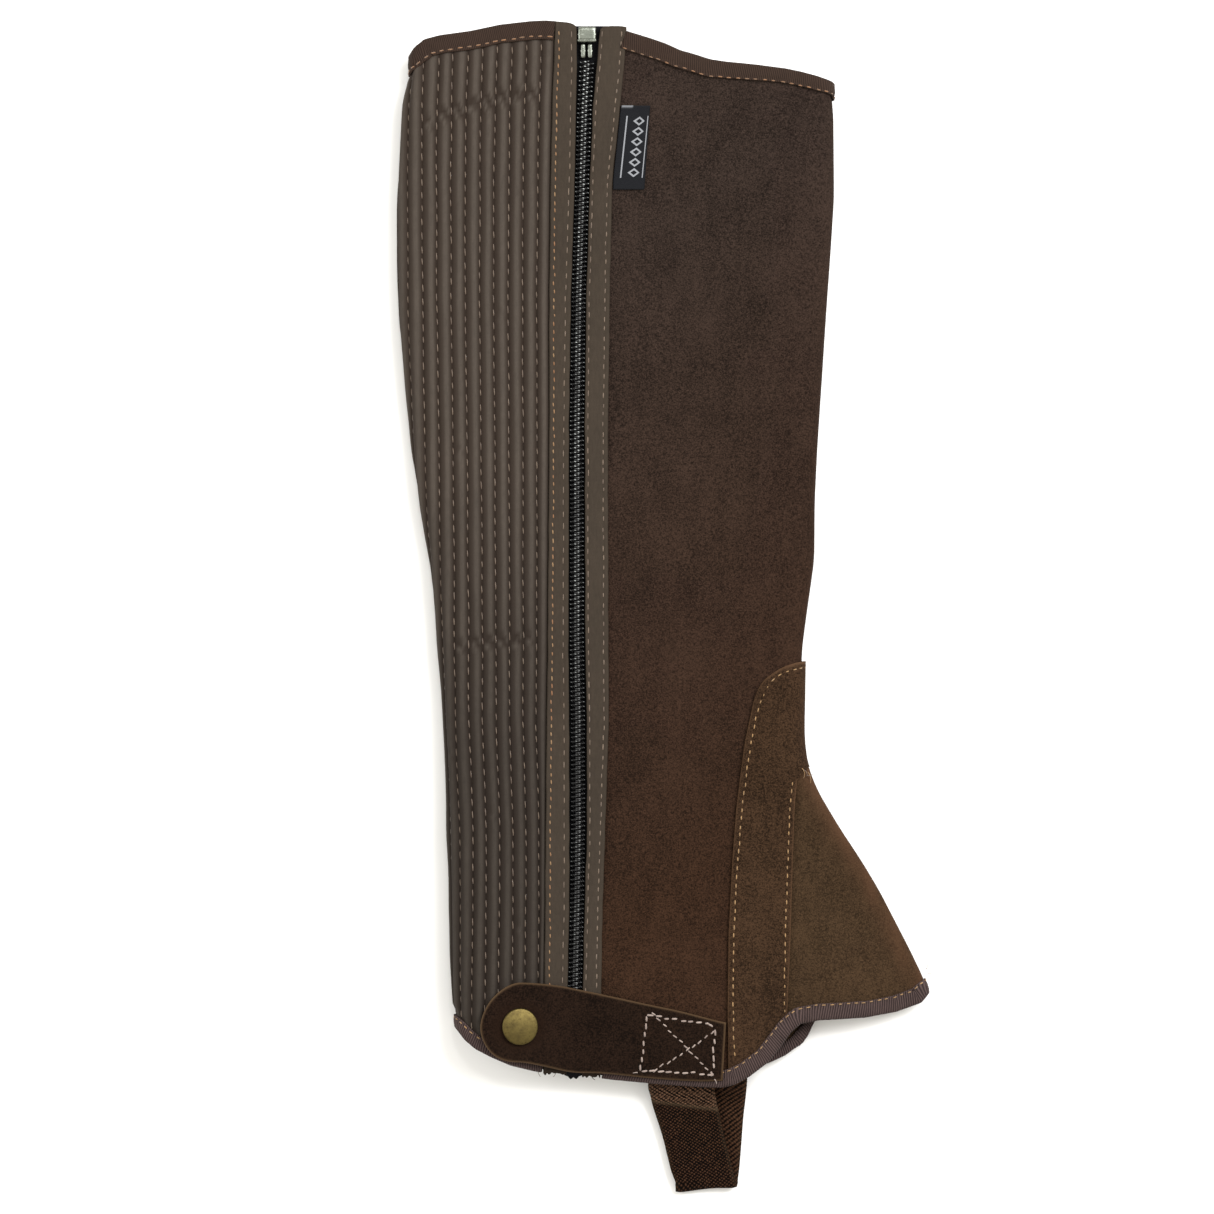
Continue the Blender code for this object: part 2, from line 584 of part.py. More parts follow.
def bindings(made_of):
    back = float(fold(220.0, 1))
    round_all = float(fold(215.0, 2))
    seam = float(back_end(np.array([212.0]))[0])
    start = float(over(238.0, -45.3))
    arcs = np.concatenate([np.linspace(start, back - 9.0, 9), np.linspace(back - 6.0, back + 12.0, 8),
                           np.linspace(back + 16.0, seam - 0.6, 3)])
    heights = np.array([top_height(lambda h, a=a: a + 0.0 * h, EDGE_LIFT)[0] for a in arcs])
    count = len(arcs)
    none = np.zeros(count)
    eased = 0.42 * ease((back + 9.0 - arcs) / 6.0)
    binding("top_binding_back", arcs, heights, 1.0, np.full(count, 6.6), eased, none, made_of)
    front = float(fold(214.0, 0))
    start = float(over(236.0, -13.8))
    arcs = np.concatenate([np.linspace(start, front + 8.0, 11), np.linspace(front + 5.0, front - 11.0, 11),
                           np.linspace(front - 24.0, seam + 1.2 - round_all, 6)])
    heights = np.array([top_height(lambda h, a=a: a + 0.0 * h, EDGE_LIFT)[0] for a in arcs])
    count = len(arcs)
    none = np.zeros(count)
    width = np.interp(np.arange(count), (0, 6, 12, count - 1), (6.4, 5.4, 4.6, 4.6))
    eased = 0.32 * ease((arcs - front + 6.0) / 5.0)
    binding("top_binding_front", arcs, heights, 1.0, width, eased, none, made_of)

    back = float(fold(-172.0, 1))
    seam = float(back_end(np.array([-186.0]))[0])
    start = float(over(-190.0, -50.6))
    arcs = np.concatenate([np.linspace(start, back - 14.0, 10), np.linspace(back - 11.0, back + 14.0, 12),
                           np.linspace(back + 20.0, seam - 0.6, 4)])
    heights = np.array([bottom_height(lambda h, a=a: a + 0.0 * h, EDGE_LIFT)[0] for a in arcs])
    count = len(arcs)
    none = np.zeros(count)
    binding("bottom_binding_back", arcs, heights, -1.0, np.full(count, 4.6), none, none, made_of)

    front = float(fold(-160.0, 0))
    round_all = float(fold(-180.0, 2))
    start = float(over(-193.0, -25.2))
    heel = float(over(-190.0, 34.0))
    far_seam = float(under(-180.0, 45.0)) - round_all
    arcs = np.concatenate([
        np.linspace(start, heel + 6.0, 9), over(np.full(2, -194.0), np.array([24.9, 26.2])),
        np.linspace(heel + 3.0, heel - 30.0, 18),
        np.linspace(heel - 38.0, front + 8.0, 5), np.linspace(front + 5.0, front - 8.0, 12),
        np.linspace(front - 16.0, far_seam + 32.0, 3),
        np.linspace(far_seam + 26.0, far_seam - 16.0, 16),
        np.linspace(far_seam - 26.0, seam + 1.2 - round_all, 6),
    ])
    arcs = np.sort(arcs)[::-1]
    heights = np.array([bottom_height(lambda h, a=a: a + 0.0 * h, EDGE_LIFT)[0] for a in arcs])
    across = look(WALL_X, heights, arcs, ARC_FIRST, ARC_STEP)
    left = column(ANKLE, heights, 1)
    right = column(ANKLE, heights, 2)
    raised = ease((across - left + 1.3) / 1.0) * ease((right + 6.6 - across) / 2.0)
    gusset = ease((across - right - 1.0) / 3.0)
    binding("bottom_binding_front", arcs, heights, -1.0, np.full(len(arcs), 4.6),
            OVERLAY_LIFT * raised, (WALL - GUSSET_WALL) * gusset * 0.0, made_of)


def strip(name, heights, left, right, low, high, made_of, round_by=0.3):
    """A flat strip on the upper side between two edges given as distances across."""
    rings = []
    for h, a, b in zip(heights, left, right):
        third = (b - a) / 3.0
        across = np.array([a, a, a + round_by, a + third, b - third, b - round_by, b, b,
                           b - third, a + third])
        side = high - round_by
        out = np.array([low, side, high, high, high, high, side, low, low, low])
        rings.append(wall(h, over(np.full(10, h), across), out))
    return loft(name, rings, made_of)


def zip_parts(cloth, tape, coil, metal):
    heights = np.linspace(239.0, -190.2, 22)
    strip("zip_band_left", heights, column(ZIP, heights, 1), column(ZIP, heights, 2),
          GAP, GAP + BAND_THICK, cloth)
    heights = np.linspace(237.6, -191.2, 22)
    strip("zip_band_right", heights, column(ZIP, heights, 3), column(ZIP, heights, 4),
          GAP, GAP + BAND_THICK, cloth)
    heights = np.linspace(237.8, -192.4, 20)
    middle = 0.5 * (column(ZIP, heights, 2) + column(ZIP, heights, 3))
    low = -WALL - GAP - TAPE_THICK
    strip("zip_tape", heights, middle - TAPE_HALF_WIDTH, middle + TAPE_HALF_WIDTH,
          low, low + TAPE_THICK, tape, 0.1)
    heights = np.linspace(223.8, -165.8, 22)
    middle = 0.5 * (column(ZIP, heights, 2) + column(ZIP, heights, 3))
    strip("zip_coil", heights, middle - COIL_HALF_WIDTH, middle + COIL_HALF_WIDTH,
          -WALL + 0.1, COIL_TOP, coil, 0.7)
    block("zip_box", (-31.4, 234.3), (7.4, 6.4, 2.9), -WALL + 0.15, metal, 0.5)
    block("zip_pin_left", (-33.0, 227.65), (2.3, 5.9, 2.2), -WALL + 0.15, metal, 0.3)
    block("zip_pin_right", (-30.1, 227.65), (2.3, 5.9, 2.2), -WALL + 0.15, metal, 0.3)
    block("zip_puller", (-36.7, -184.4), (5.6, 11.0, 0.8), 1.5, metal, 0.25)
    rings = []
    for h, half in ((-166.4, 4.3), (-170.0, 4.2), (-174.5, 3.6), (-178.2, 2.9)):
        middle = float(0.5 * (column(ZIP, h, 2) + column(ZIP, h, 3)))
        core = 2.6
        across = middle + np.array([-core, -core, -half, -half, half, half, core, core])
        out = np.array([-WALL + 0.1, 1.5, 1.5, 2.4, 2.4, 1.5, 1.5, -WALL + 0.1])
        rings.append(wall(h, over(np.full(8, h), across), out))
    loft("zip_slider", rings, metal)


def place(height, across, out):
    """The wall's point and turn at a place on the upper side: x across, y up the leg, z out."""
    arc = over(np.array([height]), np.array([across]))
    at = wall(np.array([height]), arc, out)[0]
    up = (wall(np.array([height]), arc, out + 1.0)[0] - at)
    up = Vector(up).normalized()
    leg = Vector((0.0, 1.0, 0.0))
    leg = (leg - up * leg.dot(up)).normalized()
    side = leg.cross(up)
    turn = Matrix((side, leg, up)).transposed().to_4x4()
    return Matrix.Translation(Vector(at) * MM) @ turn


def block(name, at, size, low, made_of, bevel):
    """A bevelled block lying on the wall: middle (across, height), size, lift of its underside."""
    across, height = at
    mesh = bpy.data.meshes.new(name)
    work = bmesh.new()
    bmesh.ops.create_cube(work, size=1.0)
    bmesh.ops.scale(work, vec=[value * MM for value in size], verts=work.verts)
    work.to_mesh(mesh)
    work.free()
    mesh.materials.append(made_of)
    obj = bpy.data.objects.new(name, mesh)
    bpy.data.collections["half_chap"].objects.link(obj)
    obj.matrix_world = place(height, across, low + size[2] / 2.0)
    cut = obj.modifiers.new("edges", "BEVEL")
    cut.width = bevel * MM
    cut.segments = 1
    return obj


def turned(name, profile, matrix, made_of, steps=32):
    """A solid of revolution from a profile of (radius, height) with the Screw modifier."""
    mesh = bpy.data.meshes.new(name)
    points = [(r * MM, 0.0, z * MM) for r, z in profile]
    closed = profile[0][0] > 0.0
    ahead = profile[1:] + profile[:1]
    turning = sum(a[0] * b[1] - b[0] * a[1] for a, b in zip(profile, ahead))
    edges = [(i, i + 1) for i in range(len(points) - 1)]
    if closed:
        edges.append((len(points) - 1, 0))
    mesh.from_pydata(points, edges, [])
    mesh.materials.append(made_of)
    obj = bpy.data.objects.new(name, mesh)
    bpy.data.collections["half_chap"].objects.link(obj)
    obj.matrix_world = matrix
    screw = obj.modifiers.new("turn", "SCREW")
    screw.axis = "Z"
    screw.steps = steps
    screw.render_steps = steps
    screw.use_merge_vertices = True
    screw.merge_threshold = 0.00001
    screw.use_normal_flip = turning > 0.0
    return obj


def snap_parts(leather, brass):
    across, height = SNAP_AT
    lift = float(column(TAB, across, 3))
    top = lift + TAB_THICK + GAP
    cap = ((0.0, 0.0), (SNAP_RADIUS - 0.4, 0.0), (SNAP_RADIUS, 0.35), (SNAP_RADIUS, 0.75),
           (SNAP_RADIUS - 0.5, 1.05), (5.6, 1.3), (3.0, 1.5), (0.0, 1.58))
    turned("snap_cap", cap, place(height, across, top), brass)
    stud = ((0.0, 0.0), (5.2, 0.0), (5.2, 0.45), (2.2, 0.45), (2.2, 1.5), (0.0, 1.5))
    turned("snap_stud", stud, place(height, across, RIB_HEIGHT + GAP), brass, 24)
    socket = ((2.6, 0.0), (4.8, 0.0), (4.8, 0.95), (2.6, 0.95))
    turned("snap_socket", socket, place(height, across, RIB_HEIGHT + GAP + 0.8), brass, 24)
    stations = [row[0] for row in sorted(TAB)]
    rings = []
    for x in stations:
        top_edge = float(column(TAB, x, 1))
        bottom_edge = float(column(TAB, x, 2))
        lift = float(column(TAB, x, 3))
        soft_edge = min(0.4, 0.2 * (top_edge - bottom_edge))
        middle = 0.5 * (top_edge + bottom_edge)
        heights = np.array([top_edge, top_edge, top_edge - soft_edge, middle,
                            bottom_edge + soft_edge, bottom_edge, bottom_edge, middle])
        out = lift + np.array([0.0, TAB_THICK - 0.3, TAB_THICK, TAB_THICK,
                               TAB_THICK, TAB_THICK - 0.3, 0.0, 0.0])
        lean = 1.4 * float(ease((x - 8.0) / 17.0)) * (top_edge - heights) / (top_edge - bottom_edge)
        arcs = over(heights, x - lean)
        rings.append(wall(heights, arcs, out))
    loft("snap_tab", rings, leather)


def label(made_of):
    heights = np.linspace(205.4, 171.2, 5)
    left = column(ZIP, heights, 4) + GAP
    right = np.interp(-heights, (-205.4, -171.2), (-5.5, -7.9))
    strip("label", heights, left, right, GAP, GAP + LABEL_THICK, made_of, 0.15)


def strap(made_of):
    """The elastic that passes under the boot: down from the near wall, folded, back to the far one."""
    near_in = ((-1.0, 21.0, -168.0), (-3.0, 21.0, -180.0), (-5.4, 21.2, -190.0))
    near_out = ((-6.4, 20.9, -196.0, 9.0), (-5.4, 21.6, -200.5, 7.0), (-4.2, 22.6, -205.5, 4.9),
                (-0.4, 25.3, -217.5, 4.3), (3.0, 28.8, -231.0, 4.2), (4.9, 29.9, -236.3, 4.0))
    far_out = ((4.9, 30.6, -236.3, 0.8), (4.7, 31.4, -229.5, 0.8), (5.6, 32.8, -211.5, 0.8),
               (6.4, 33.6, -204.0, 1.6))
    far_in = ((7.2, 34.2, -195.4), (7.6, 34.4, -188.0), (8.0, 34.6, -178.0), (8.4, 35.0, -166.0))
    inside = -WALL - GAP - 0.6 - GAP - STRAP_THICK / 2.0 - 0.4
    rows = []
    for left, right, height in near_in:
        across = np.array([left, (left + right) / 2.0, right])
        heights = np.array([height, height - 0.7, height - 1.4])
        rows.append(wall(heights, over(heights, across), inside))
    for left, right, height, z in near_out:
        rows.append([(left, height, z), ((left + right) / 2.0, height - 0.8, z + 0.1),
                     (right, height - 1.6, z)])
    rows.append([(5.2, -239.6, 2.4), (17.5, -237.9, 2.4), (30.4, -236.2, 2.4)])
    for left, right, height, z in far_out:
        rows.append([(left, height - 0.6, z), ((left + right) / 2.0, height, z),
                     (right, height + 0.6, z)])
    for left, right, height in far_in:
        across = np.array([left, (left + right) / 2.0, right])
        heights = np.full(3, height)
        arcs = under(heights, across)
        rows.append(wall(heights, arcs, inside))
    rows = np.array(rows, float)
    run = np.zeros_like(rows)
    run[1:-1] = rows[2:] - rows[:-2]
    run[0] = rows[1] - rows[0]
    run[-1] = rows[-1] - rows[-2]
    side = rows[:, 2:3] - rows[:, 0:1]
    normal = np.cross(side, run)
    normal /= np.linalg.norm(normal, axis=-1, keepdims=True)
    rings = np.concatenate([rows + normal * STRAP_THICK / 2.0,
                            (rows - normal * STRAP_THICK / 2.0)[:, ::-1]], axis=1)
    loft("stirrup_strap", rings, made_of)


def main():
    clear_scene()
    made = bpy.data.collections.new("half_chap")
    bpy.context.scene.collection.children.link(made)
    suede = material("suede", (0.048, 0.030, 0.021), 0.95)
    wedge = material("gusset_suede", (0.075, 0.048, 0.030), 0.95)
    patch = material("overlay_suede", (0.062, 0.036, 0.021), 0.95)
    ribbed = material("ribbed_cloth", (0.079, 0.062, 0.050), 0.8)
    trim = material("binding_tape", (0.070, 0.050, 0.045), 0.85)
    band = material("band_cloth", (0.078, 0.060, 0.048), 0.8)
    tape = material("zip_tape_cloth", (0.008, 0.008, 0.010), 0.8)
    coil = material("zip_plastic", (0.010, 0.011, 0.013), 0.35)
    metal = material("zip_metal", (0.33, 0.36, 0.30), 0.35, 1.0)
    leather = material("tab_leather", (0.022, 0.012, 0.008), 0.7)
    brass = material("antique_brass", (0.20, 0.14, 0.045), 0.35, 1.0)
    woven = material("label_weave", (0.010, 0.010, 0.013), 0.7)
    elastic = material("strap_elastic", (0.028, 0.012, 0.008), 0.85)
    ribbed_panel(ribbed)
    suede_panel(suede)
    ankle_overlay(patch)
    instep_gusset(wedge)
    bindings(trim)
    zip_parts(band, tape, coil, metal)
    snap_parts(leather, brass)
    label(woven)
    strap(elastic)


main()
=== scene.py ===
"""Half chap laid flat, outer side up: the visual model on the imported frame."""

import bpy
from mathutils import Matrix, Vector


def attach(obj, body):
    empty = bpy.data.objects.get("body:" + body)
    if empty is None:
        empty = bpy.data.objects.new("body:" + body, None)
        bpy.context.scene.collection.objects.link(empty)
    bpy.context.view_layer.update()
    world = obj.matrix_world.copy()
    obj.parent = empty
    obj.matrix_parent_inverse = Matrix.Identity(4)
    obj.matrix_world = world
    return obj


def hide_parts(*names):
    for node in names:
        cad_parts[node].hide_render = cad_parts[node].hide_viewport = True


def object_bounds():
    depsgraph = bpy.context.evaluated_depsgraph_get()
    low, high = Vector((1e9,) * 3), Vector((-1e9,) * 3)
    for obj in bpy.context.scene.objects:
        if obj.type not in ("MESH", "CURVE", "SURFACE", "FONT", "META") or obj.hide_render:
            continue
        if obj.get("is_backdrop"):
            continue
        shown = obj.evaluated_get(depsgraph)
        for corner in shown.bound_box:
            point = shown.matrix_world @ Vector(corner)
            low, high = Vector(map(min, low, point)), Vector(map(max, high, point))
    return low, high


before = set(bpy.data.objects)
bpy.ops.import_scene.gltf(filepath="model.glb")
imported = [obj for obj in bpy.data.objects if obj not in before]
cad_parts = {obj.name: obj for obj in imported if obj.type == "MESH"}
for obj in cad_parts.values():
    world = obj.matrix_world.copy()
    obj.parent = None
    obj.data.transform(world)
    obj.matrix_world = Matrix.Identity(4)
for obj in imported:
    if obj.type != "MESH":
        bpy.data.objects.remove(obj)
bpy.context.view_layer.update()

import math

import bpy
import numpy as np
from bpy.props import FloatProperty, FloatVectorProperty, PointerProperty
from mathutils import Matrix, Vector

bl_info = {
    "name": "Half Chap",
    "version": (1, 0, 0),
    "blender": (4, 5, 0),
    "location": "3D View > Sidebar > Half Chap",
    "description": "Builds a suede half chap, laid flat, over its packed solids",
    "category": "Add Mesh",
}

# Sizes are in millimetres, as in the part's source; height runs up the leg from the frame's middle
MM = 0.001
GAP = 0.3
WALL = 2.0
GUSSET_WALL = 1.6
OVERLAY_THICK = 1.2
BINDING_THICK = 0.8
BAND_THICK = 0.9
TAPE_THICK = 0.7
TAPE_HALF_WIDTH = 10.4
TAB_THICK = 1.8
LABEL_THICK = 0.6
STRAP_THICK = 1.5
APEX = -66.0
SNAP_RADIUS = 7.5
EDGE_LIFT = GAP + BINDING_THICK
OVERLAY_GAP = 0.5
OVERLAY_LIFT = OVERLAY_GAP + OVERLAY_THICK
EDGE_INSET = EDGE_LIFT + 0.25
SEAM_GAP = 0.9

# height, back fold, front fold, back thickness, back rounding,
# front thickness, front rounding, middle thickness
SECTIONS = (
    (244.8, -103.2, 68.9, 12.8, 6.5, 11.9, 6.2, 12.6),
    (216.0, -103.3, 68.9, 12.6, 6.5, 11.7, 6.2, 10.8),
    (208.0, -106.2, 68.9, 12.5, 6.5, 11.6, 6.1, 10.2),
    (203.8, -106.6, 69.7, 12.4, 6.5, 11.5, 6.1, 9.9),
    (166.9, -108.7, 69.9, 12.0, 6.5, 11.4, 6.0, 7.0),
    (142.3, -108.7, 68.3, 12.0, 6.6, 11.4, 6.0, 6.9),
    (117.7, -107.9, 66.6, 12.0, 6.8, 11.4, 6.0, 6.7),
    (93.1, -105.4, 65.0, 12.0, 6.9, 11.4, 6.0, 6.6),
    (68.5, -103.0, 63.3, 12.1, 7.0, 11.4, 6.0, 6.5),
    (43.9, -99.7, 62.1, 12.7, 7.3, 11.5, 6.3, 6.8),
    (19.3, -95.2, 61.9, 13.2, 7.6, 11.7, 6.6, 7.1),
    (-5.3, -92.7, 58.4, 13.8, 7.9, 12.0, 6.9, 7.4),
    (-17.6, -91.9, 56.8, 14.2, 8.1, 12.2, 7.0, 7.7),
    (-34.0, -90.2, 56.5, 15.2, 8.6, 12.8, 7.0, 8.3),
    (-54.5, -89.0, 56.1, 16.5, 9.2, 13.0, 7.0, 9.1),
    (-66.0, -88.6, 57.8, 17.2, 9.6, 13.0, 7.0, 9.5),
    (-79.1, -88.2, 65.4, 18.0, 10.0, 11.0, 5.6, 10.0),
    (-91.4, -88.1, 72.8, 18.6, 10.4, 9.8, 5.0, 10.6),
    (-103.7, -87.5, 81.0, 19.2, 10.8, 9.0, 4.6, 11.2),
    (-116.0, -87.0, 88.4, 19.8, 11.2, 8.8, 4.5, 11.8),
    (-140.6, -86.6, 101.1, 21.0, 12.0, 8.6, 4.3, 13.0),
    (-152.9, -86.1, 107.0, 21.2, 12.0, 8.4, 4.2, 13.4),
    (-157.0, -85.9, 108.4, 21.3, 12.0, 8.4, 4.2, 13.5),
    (-173.4, -84.5, 108.8, 21.5, 12.0, 8.4, 4.2, 14.1),
    (-202.1, -83.0, 108.8, 22.0, 12.0, 8.4, 4.2, 15.0),
)
# across, height of the bound edge
TOP_NEAR = (
    (-104.3, 225.5), (-101.5, 229.6), (-97.8, 232.5), (-91.6, 234.1), (-79.3, 235.8),
    (-67.0, 238.4), (-54.7, 239.8), (-48.6, 240.1), (-35.5, 239.2), (-26.0, 238.2),
    (-17.8, 237.4), (-15.0, 235.8), (-5.5, 232.9), (0.6, 230.8), (6.8, 228.0),
    (12.9, 226.3), (19.1, 224.3), (25.2, 223.4), (37.5, 222.2), (49.8, 220.6),
    (56.0, 219.3), (62.1, 217.7), (68.3, 215.7), (70.7, 214.0),
)
TOP_FAR = (
    (-104.3, 225.5), (-91.6, 221.0), (-67.0, 216.1), (-26.0, 212.0), (15.0, 210.3),
    (56.0, 211.1), (70.7, 214.0),
)
BOTTOM_NEAR = (
    (-85.5, -171.8), (-83.8, -173.8), (-81.0, -177.1), (-76.9, -180.4), (-70.3, -183.7),
    (-62.5, -187.0), (-51.9, -189.8), (-36.3, -191.5), (-19.5, -193.5), (-1.4, -195.2),
    (15.0, -196.4), (24.0, -196.6), (29.3, -195.2), (34.6, -192.3), (37.5, -190.2),
    (42.8, -186.1), (47.8, -180.0), (51.9, -174.2), (56.0, -170.6), (63.3, -169.1),
    (83.0, -168.1), (95.3, -166.0), (105.6, -162.4), (109.7, -157.8),
)
BOTTOM_FAR = (
    (-85.5, -171.8), (-79.3, -176.7), (-67.0, -182.4), (-50.6, -187.0), (-26.0, -190.2),
    (15.0, -192.3), (31.4, -191.1), (43.7, -187.2), (50.2, -184.1), (55.8, -180.0),
    (59.2, -175.5), (62.5, -169.7), (68.3, -166.9), (83.0, -165.2), (95.3, -163.2),
    (105.6, -160.3), (109.7, -157.8),
)
# height, left band's outer edge, its inner edge, right band's inner edge, its outer edge
ZIP = (
    (239.8, -44.5, -35.7, -25.9, -15.0),
    (224.3, -44.9, -35.5, -27.1, -15.9),
    (205.8, -45.7, -35.9, -28.9, -17.8),
    (175.1, -46.3, -36.5, -30.2, -21.0),
    (125.9, -46.9, -38.0, -31.7, -22.1),
    (72.6, -46.9, -38.8, -32.3, -22.8),
    (-13.5, -47.5, -39.0, -32.1, -22.6),
    (-46.3, -48.0, -38.7, -31.5, -22.4),
    (-91.4, -48.5, -38.6, -31.4, -23.9),
    (-122.2, -48.6, -38.7, -32.3, -25.0),
    (-155.0, -49.0, -39.4, -33.1, -25.5),
    (-202.1, -49.4, -40.0, -33.6, -26.0),
)
# height, first stitch line's distance from the left band, distance between stitch lines
RIBS = (
    (239.8, 5.3, 6.0), (175.1, 5.3, 5.97), (72.6, 4.96, 5.81), (-13.5, 4.5, 5.7),
    (-46.3, 4.3, 5.65), (-91.4, 2.6, 5.55), (-202.1, 2.5, 5.5),
)
RIB_COUNT = 15
# height, overlay's left edge, its right edge over the gusset, the seam below it
ANKLE = (
    (-22.1, 37.7, 58.4, 57.8), (-38.1, 37.1, 58.4, 57.8), (-55.3, 33.4, 58.4, 57.8),
    (-66.0, 31.9, 58.4, 57.8), (-68.5, 31.6, 56.0, 54.9), (-70.5, 31.3, 54.5, 53.1),
    (-82.8, 29.7, 53.6, 52.0), (-104.5, 28.0, 52.7, 51.0), (-134.1, 26.5, 51.9, 50.2),
    (-163.6, 26.1, 50.6, 49.0), (-179.6, 26.3, 49.4, 47.8), (-205.0, 26.4, 48.6, 46.9),
)
# across, height of the overlay's top edge
OVERLAY_TOP = (
    (35.5, -41.5), (36.7, -39.6), (37.7, -36.6), (38.9, -33.4), (40.4, -31.0), (42.2, -29.0),
    (44.5, -27.3), (47.0, -25.6), (49.8, -24.2), (53.5, -22.8), (57.2, -22.1), (60.9, -22.1),
)
# across, top edge, bottom edge, lift of the snap tab's underside off the panel
TAB = (
    (-74.0, -171.2, -173.0, 3.3), (-73.2, -165.2, -176.7, 3.35), (-71.1, -159.9, -180.4, 3.4),
    (-67.9, -156.2, -183.2, 3.4), (-62.9, -154.2, -185.4, 3.4), (-58.9, -154.0, -186.4, 3.4),
    (-50.0, -154.8, -188.1, 3.3), (-41.2, -156.0, -189.3, 3.0), (-30.0, -158.2, -190.6, 2.8),
    (-18.0, -160.8, -192.1, 2.3), (-7.2, -163.2, -193.3, 1.8), (6.4, -166.0, -194.4, 1.5),
    (16.0, -168.5, -194.8, 1.45), (23.6, -170.5, -194.6, 1.45), (25.4, -171.0, -194.4, 1.45),
)


def column(table, at, which=1):
    """The table's column, interpolated at values of its first column."""
    rows = np.array(sorted(table), float)
    return np.interp(at, rows[:, 0], rows[:, which])


def soft(table, at, which):
    """The same, averaged over 8 mm so that a wall has no creases at the table's rows."""
    reach = (-4.0, -2.0, 0.0, 2.0, 4.0)
    return sum(column(table, np.asarray(at) + step, which) for step in reach) / len(reach)


def ease(value):
    """0 below 0, 1 above 1 and a smooth S between."""
    value = np.clip(value, 0.0, 1.0)
    return value * value * (3.0 - 2.0 * value)


def there_and_back(count):
    """Shares from 0 to 1 and back to 0, for the top and the underside of a strip."""
    share = np.linspace(0.0, 1.0, count)
    return np.concatenate([share, share[::-1]])


def there_and_under(top, low):
    """A closed section's columns: along the top and back along the low side."""
    return np.concatenate([top, low[:, ::-1]], axis=1)


def side_by_side(*parts):
    """Columns of several arrays in one, each spread over the rows of the first."""
    rows = len(parts[0])
    return np.concatenate([np.broadcast_to(part, (rows, np.shape(part)[-1])) for part in parts], axis=1)


def unit(way):
    """Directions of length 1."""
    return way / np.linalg.norm(way, axis=-1, keepdims=True)


def bell(value, width, power=2):
    """1 at zero and near a third at width either way: e to minus (value / width) to the power."""
    return np.exp(-(value / width) ** power)


def far_lift(height, across):
    """How far the wall below is held off the floor by its bindings and the overlay's far leg."""
    from_top = column(TOP_FAR, across) - height
    from_bottom = height - column(BOTTOM_FAR, across)
    edge = 1.0 - ease((np.minimum(from_top, from_bottom) - 8.0) / 9.0)
    left, right = column(ANKLE, height, 1), column(ANKLE, height, 2)
    beyond = np.where(height > APEX, 1.0, ease((right + 11.0 - across) / 6.0))
    patch = ease((across - left + 7.0) / 6.0) * beyond * ease((-15.0 - height) / 6.0)
    return EDGE_LIFT * edge + OVERLAY_LIFT * patch


# heights, arcs and distances across of the wall's tables; how far from a fold the wall settles
HEIGHTS = np.arange(250.0, -208.0, -1.0)
TABLE_STEP = 0.5
ARCS = np.arange(-320.0, 320.5, TABLE_STEP)
ACROSS = np.arange(-112.0, 112.5, TABLE_STEP)
BACK_SLOPE, FRONT_SLOPE = 38.0, 34.0


def section(height):
    """The tube's outline at one height: across and up from the front fold, over and back under."""
    back, front, back_thick, back_round, front_thick, front_round, middle = (
        float(soft(SECTIONS, height, which)) for which in range(1, 8)
    )
    turn = np.linspace(0.0, math.pi / 2.0, 15)
    flat = np.linspace(back + back_round, front - front_round, 161)[1:-1]
    raised = middle + (back_thick - middle) * (1.0 - ease((flat - flat[0]) / BACK_SLOPE))
    raised += (front_thick - middle) * (1.0 - ease((flat[-1] - flat) / FRONT_SLOPE))
    back_x = back + back_round * (1.0 - np.cos(turn))
    front_x = front - front_round * (1.0 - np.cos(turn))
    top_x = np.concatenate([front_x, flat[::-1], back_x[::-1]])
    top_z = np.concatenate([front_thick / 2.0 * (1.0 + np.sin(turn)), raised[::-1],
                            back_thick / 2.0 * (1.0 + np.sin(turn[::-1]))])
    under_x = np.concatenate([back_x[1:], flat, front_x[::-1]])
    under_z = np.concatenate([back_thick / 2.0 * (1.0 - np.sin(turn[1:])), np.zeros(len(flat)),
                              front_thick / 2.0 * (1.0 - np.sin(turn[::-1]))])
    weight = np.concatenate([np.sin(turn[1:]), np.ones(len(flat)), np.sin(turn[::-1])])
    under_z += far_lift(height, under_x) * weight
    return np.concatenate([top_x, under_x]), np.concatenate([top_z, under_z]), len(top_x)


def build_tables():
    """Grids of the wall by height and arc, and of arc by height and across, above and below."""
    wall_x, wall_z, arc_top, arc_under, ends = [], [], [], [], []
    for height in HEIGHTS:
        x, z, top = section(height)
        run = np.concatenate([[0.0], np.cumsum(np.hypot(np.diff(x), np.diff(z)))])
        middle = 0.5 * (column(ZIP, height, 2) + column(ZIP, height, 3))
        zero = np.interp(-middle, -x[:top], run[:top])
        run = run - zero
        total = run[-1] - run[0]
        wall_x.append(np.interp(ARCS, run, x, period=total))
        wall_z.append(np.interp(ARCS, run, z, period=total))
        arc_top.append(np.interp(-ACROSS, -x[:top], run[:top]))
        arc_under.append(np.interp(ACROSS, x[top - 1:], run[top - 1:]))
        ends.append((run[0], run[top - 1], total))
    return [np.array(grid) for grid in (wall_x, wall_z, arc_top, arc_under, ends)]


WALL_X, WALL_Z, ARC_TOP, ARC_UNDER, ENDS = build_tables()


def look(grid, height, at, places):
    """Value of a table of heights by places, evenly between the four entries round (height, at)."""
    i = np.clip(HEIGHTS[0] - height, 0.0, len(HEIGHTS) - 1.001)
    j = np.clip((at - places[0]) / TABLE_STEP, 0.0, len(places) - 1.001)
    i0, j0 = i.astype(int), j.astype(int)
    u, v = i - i0, j - j0
    upper = grid[i0, j0] * (1.0 - v) + grid[i0, j0 + 1] * v
    lower = grid[i0 + 1, j0] * (1.0 - v) + grid[i0 + 1, j0 + 1] * v
    return upper * (1.0 - u) + lower * u


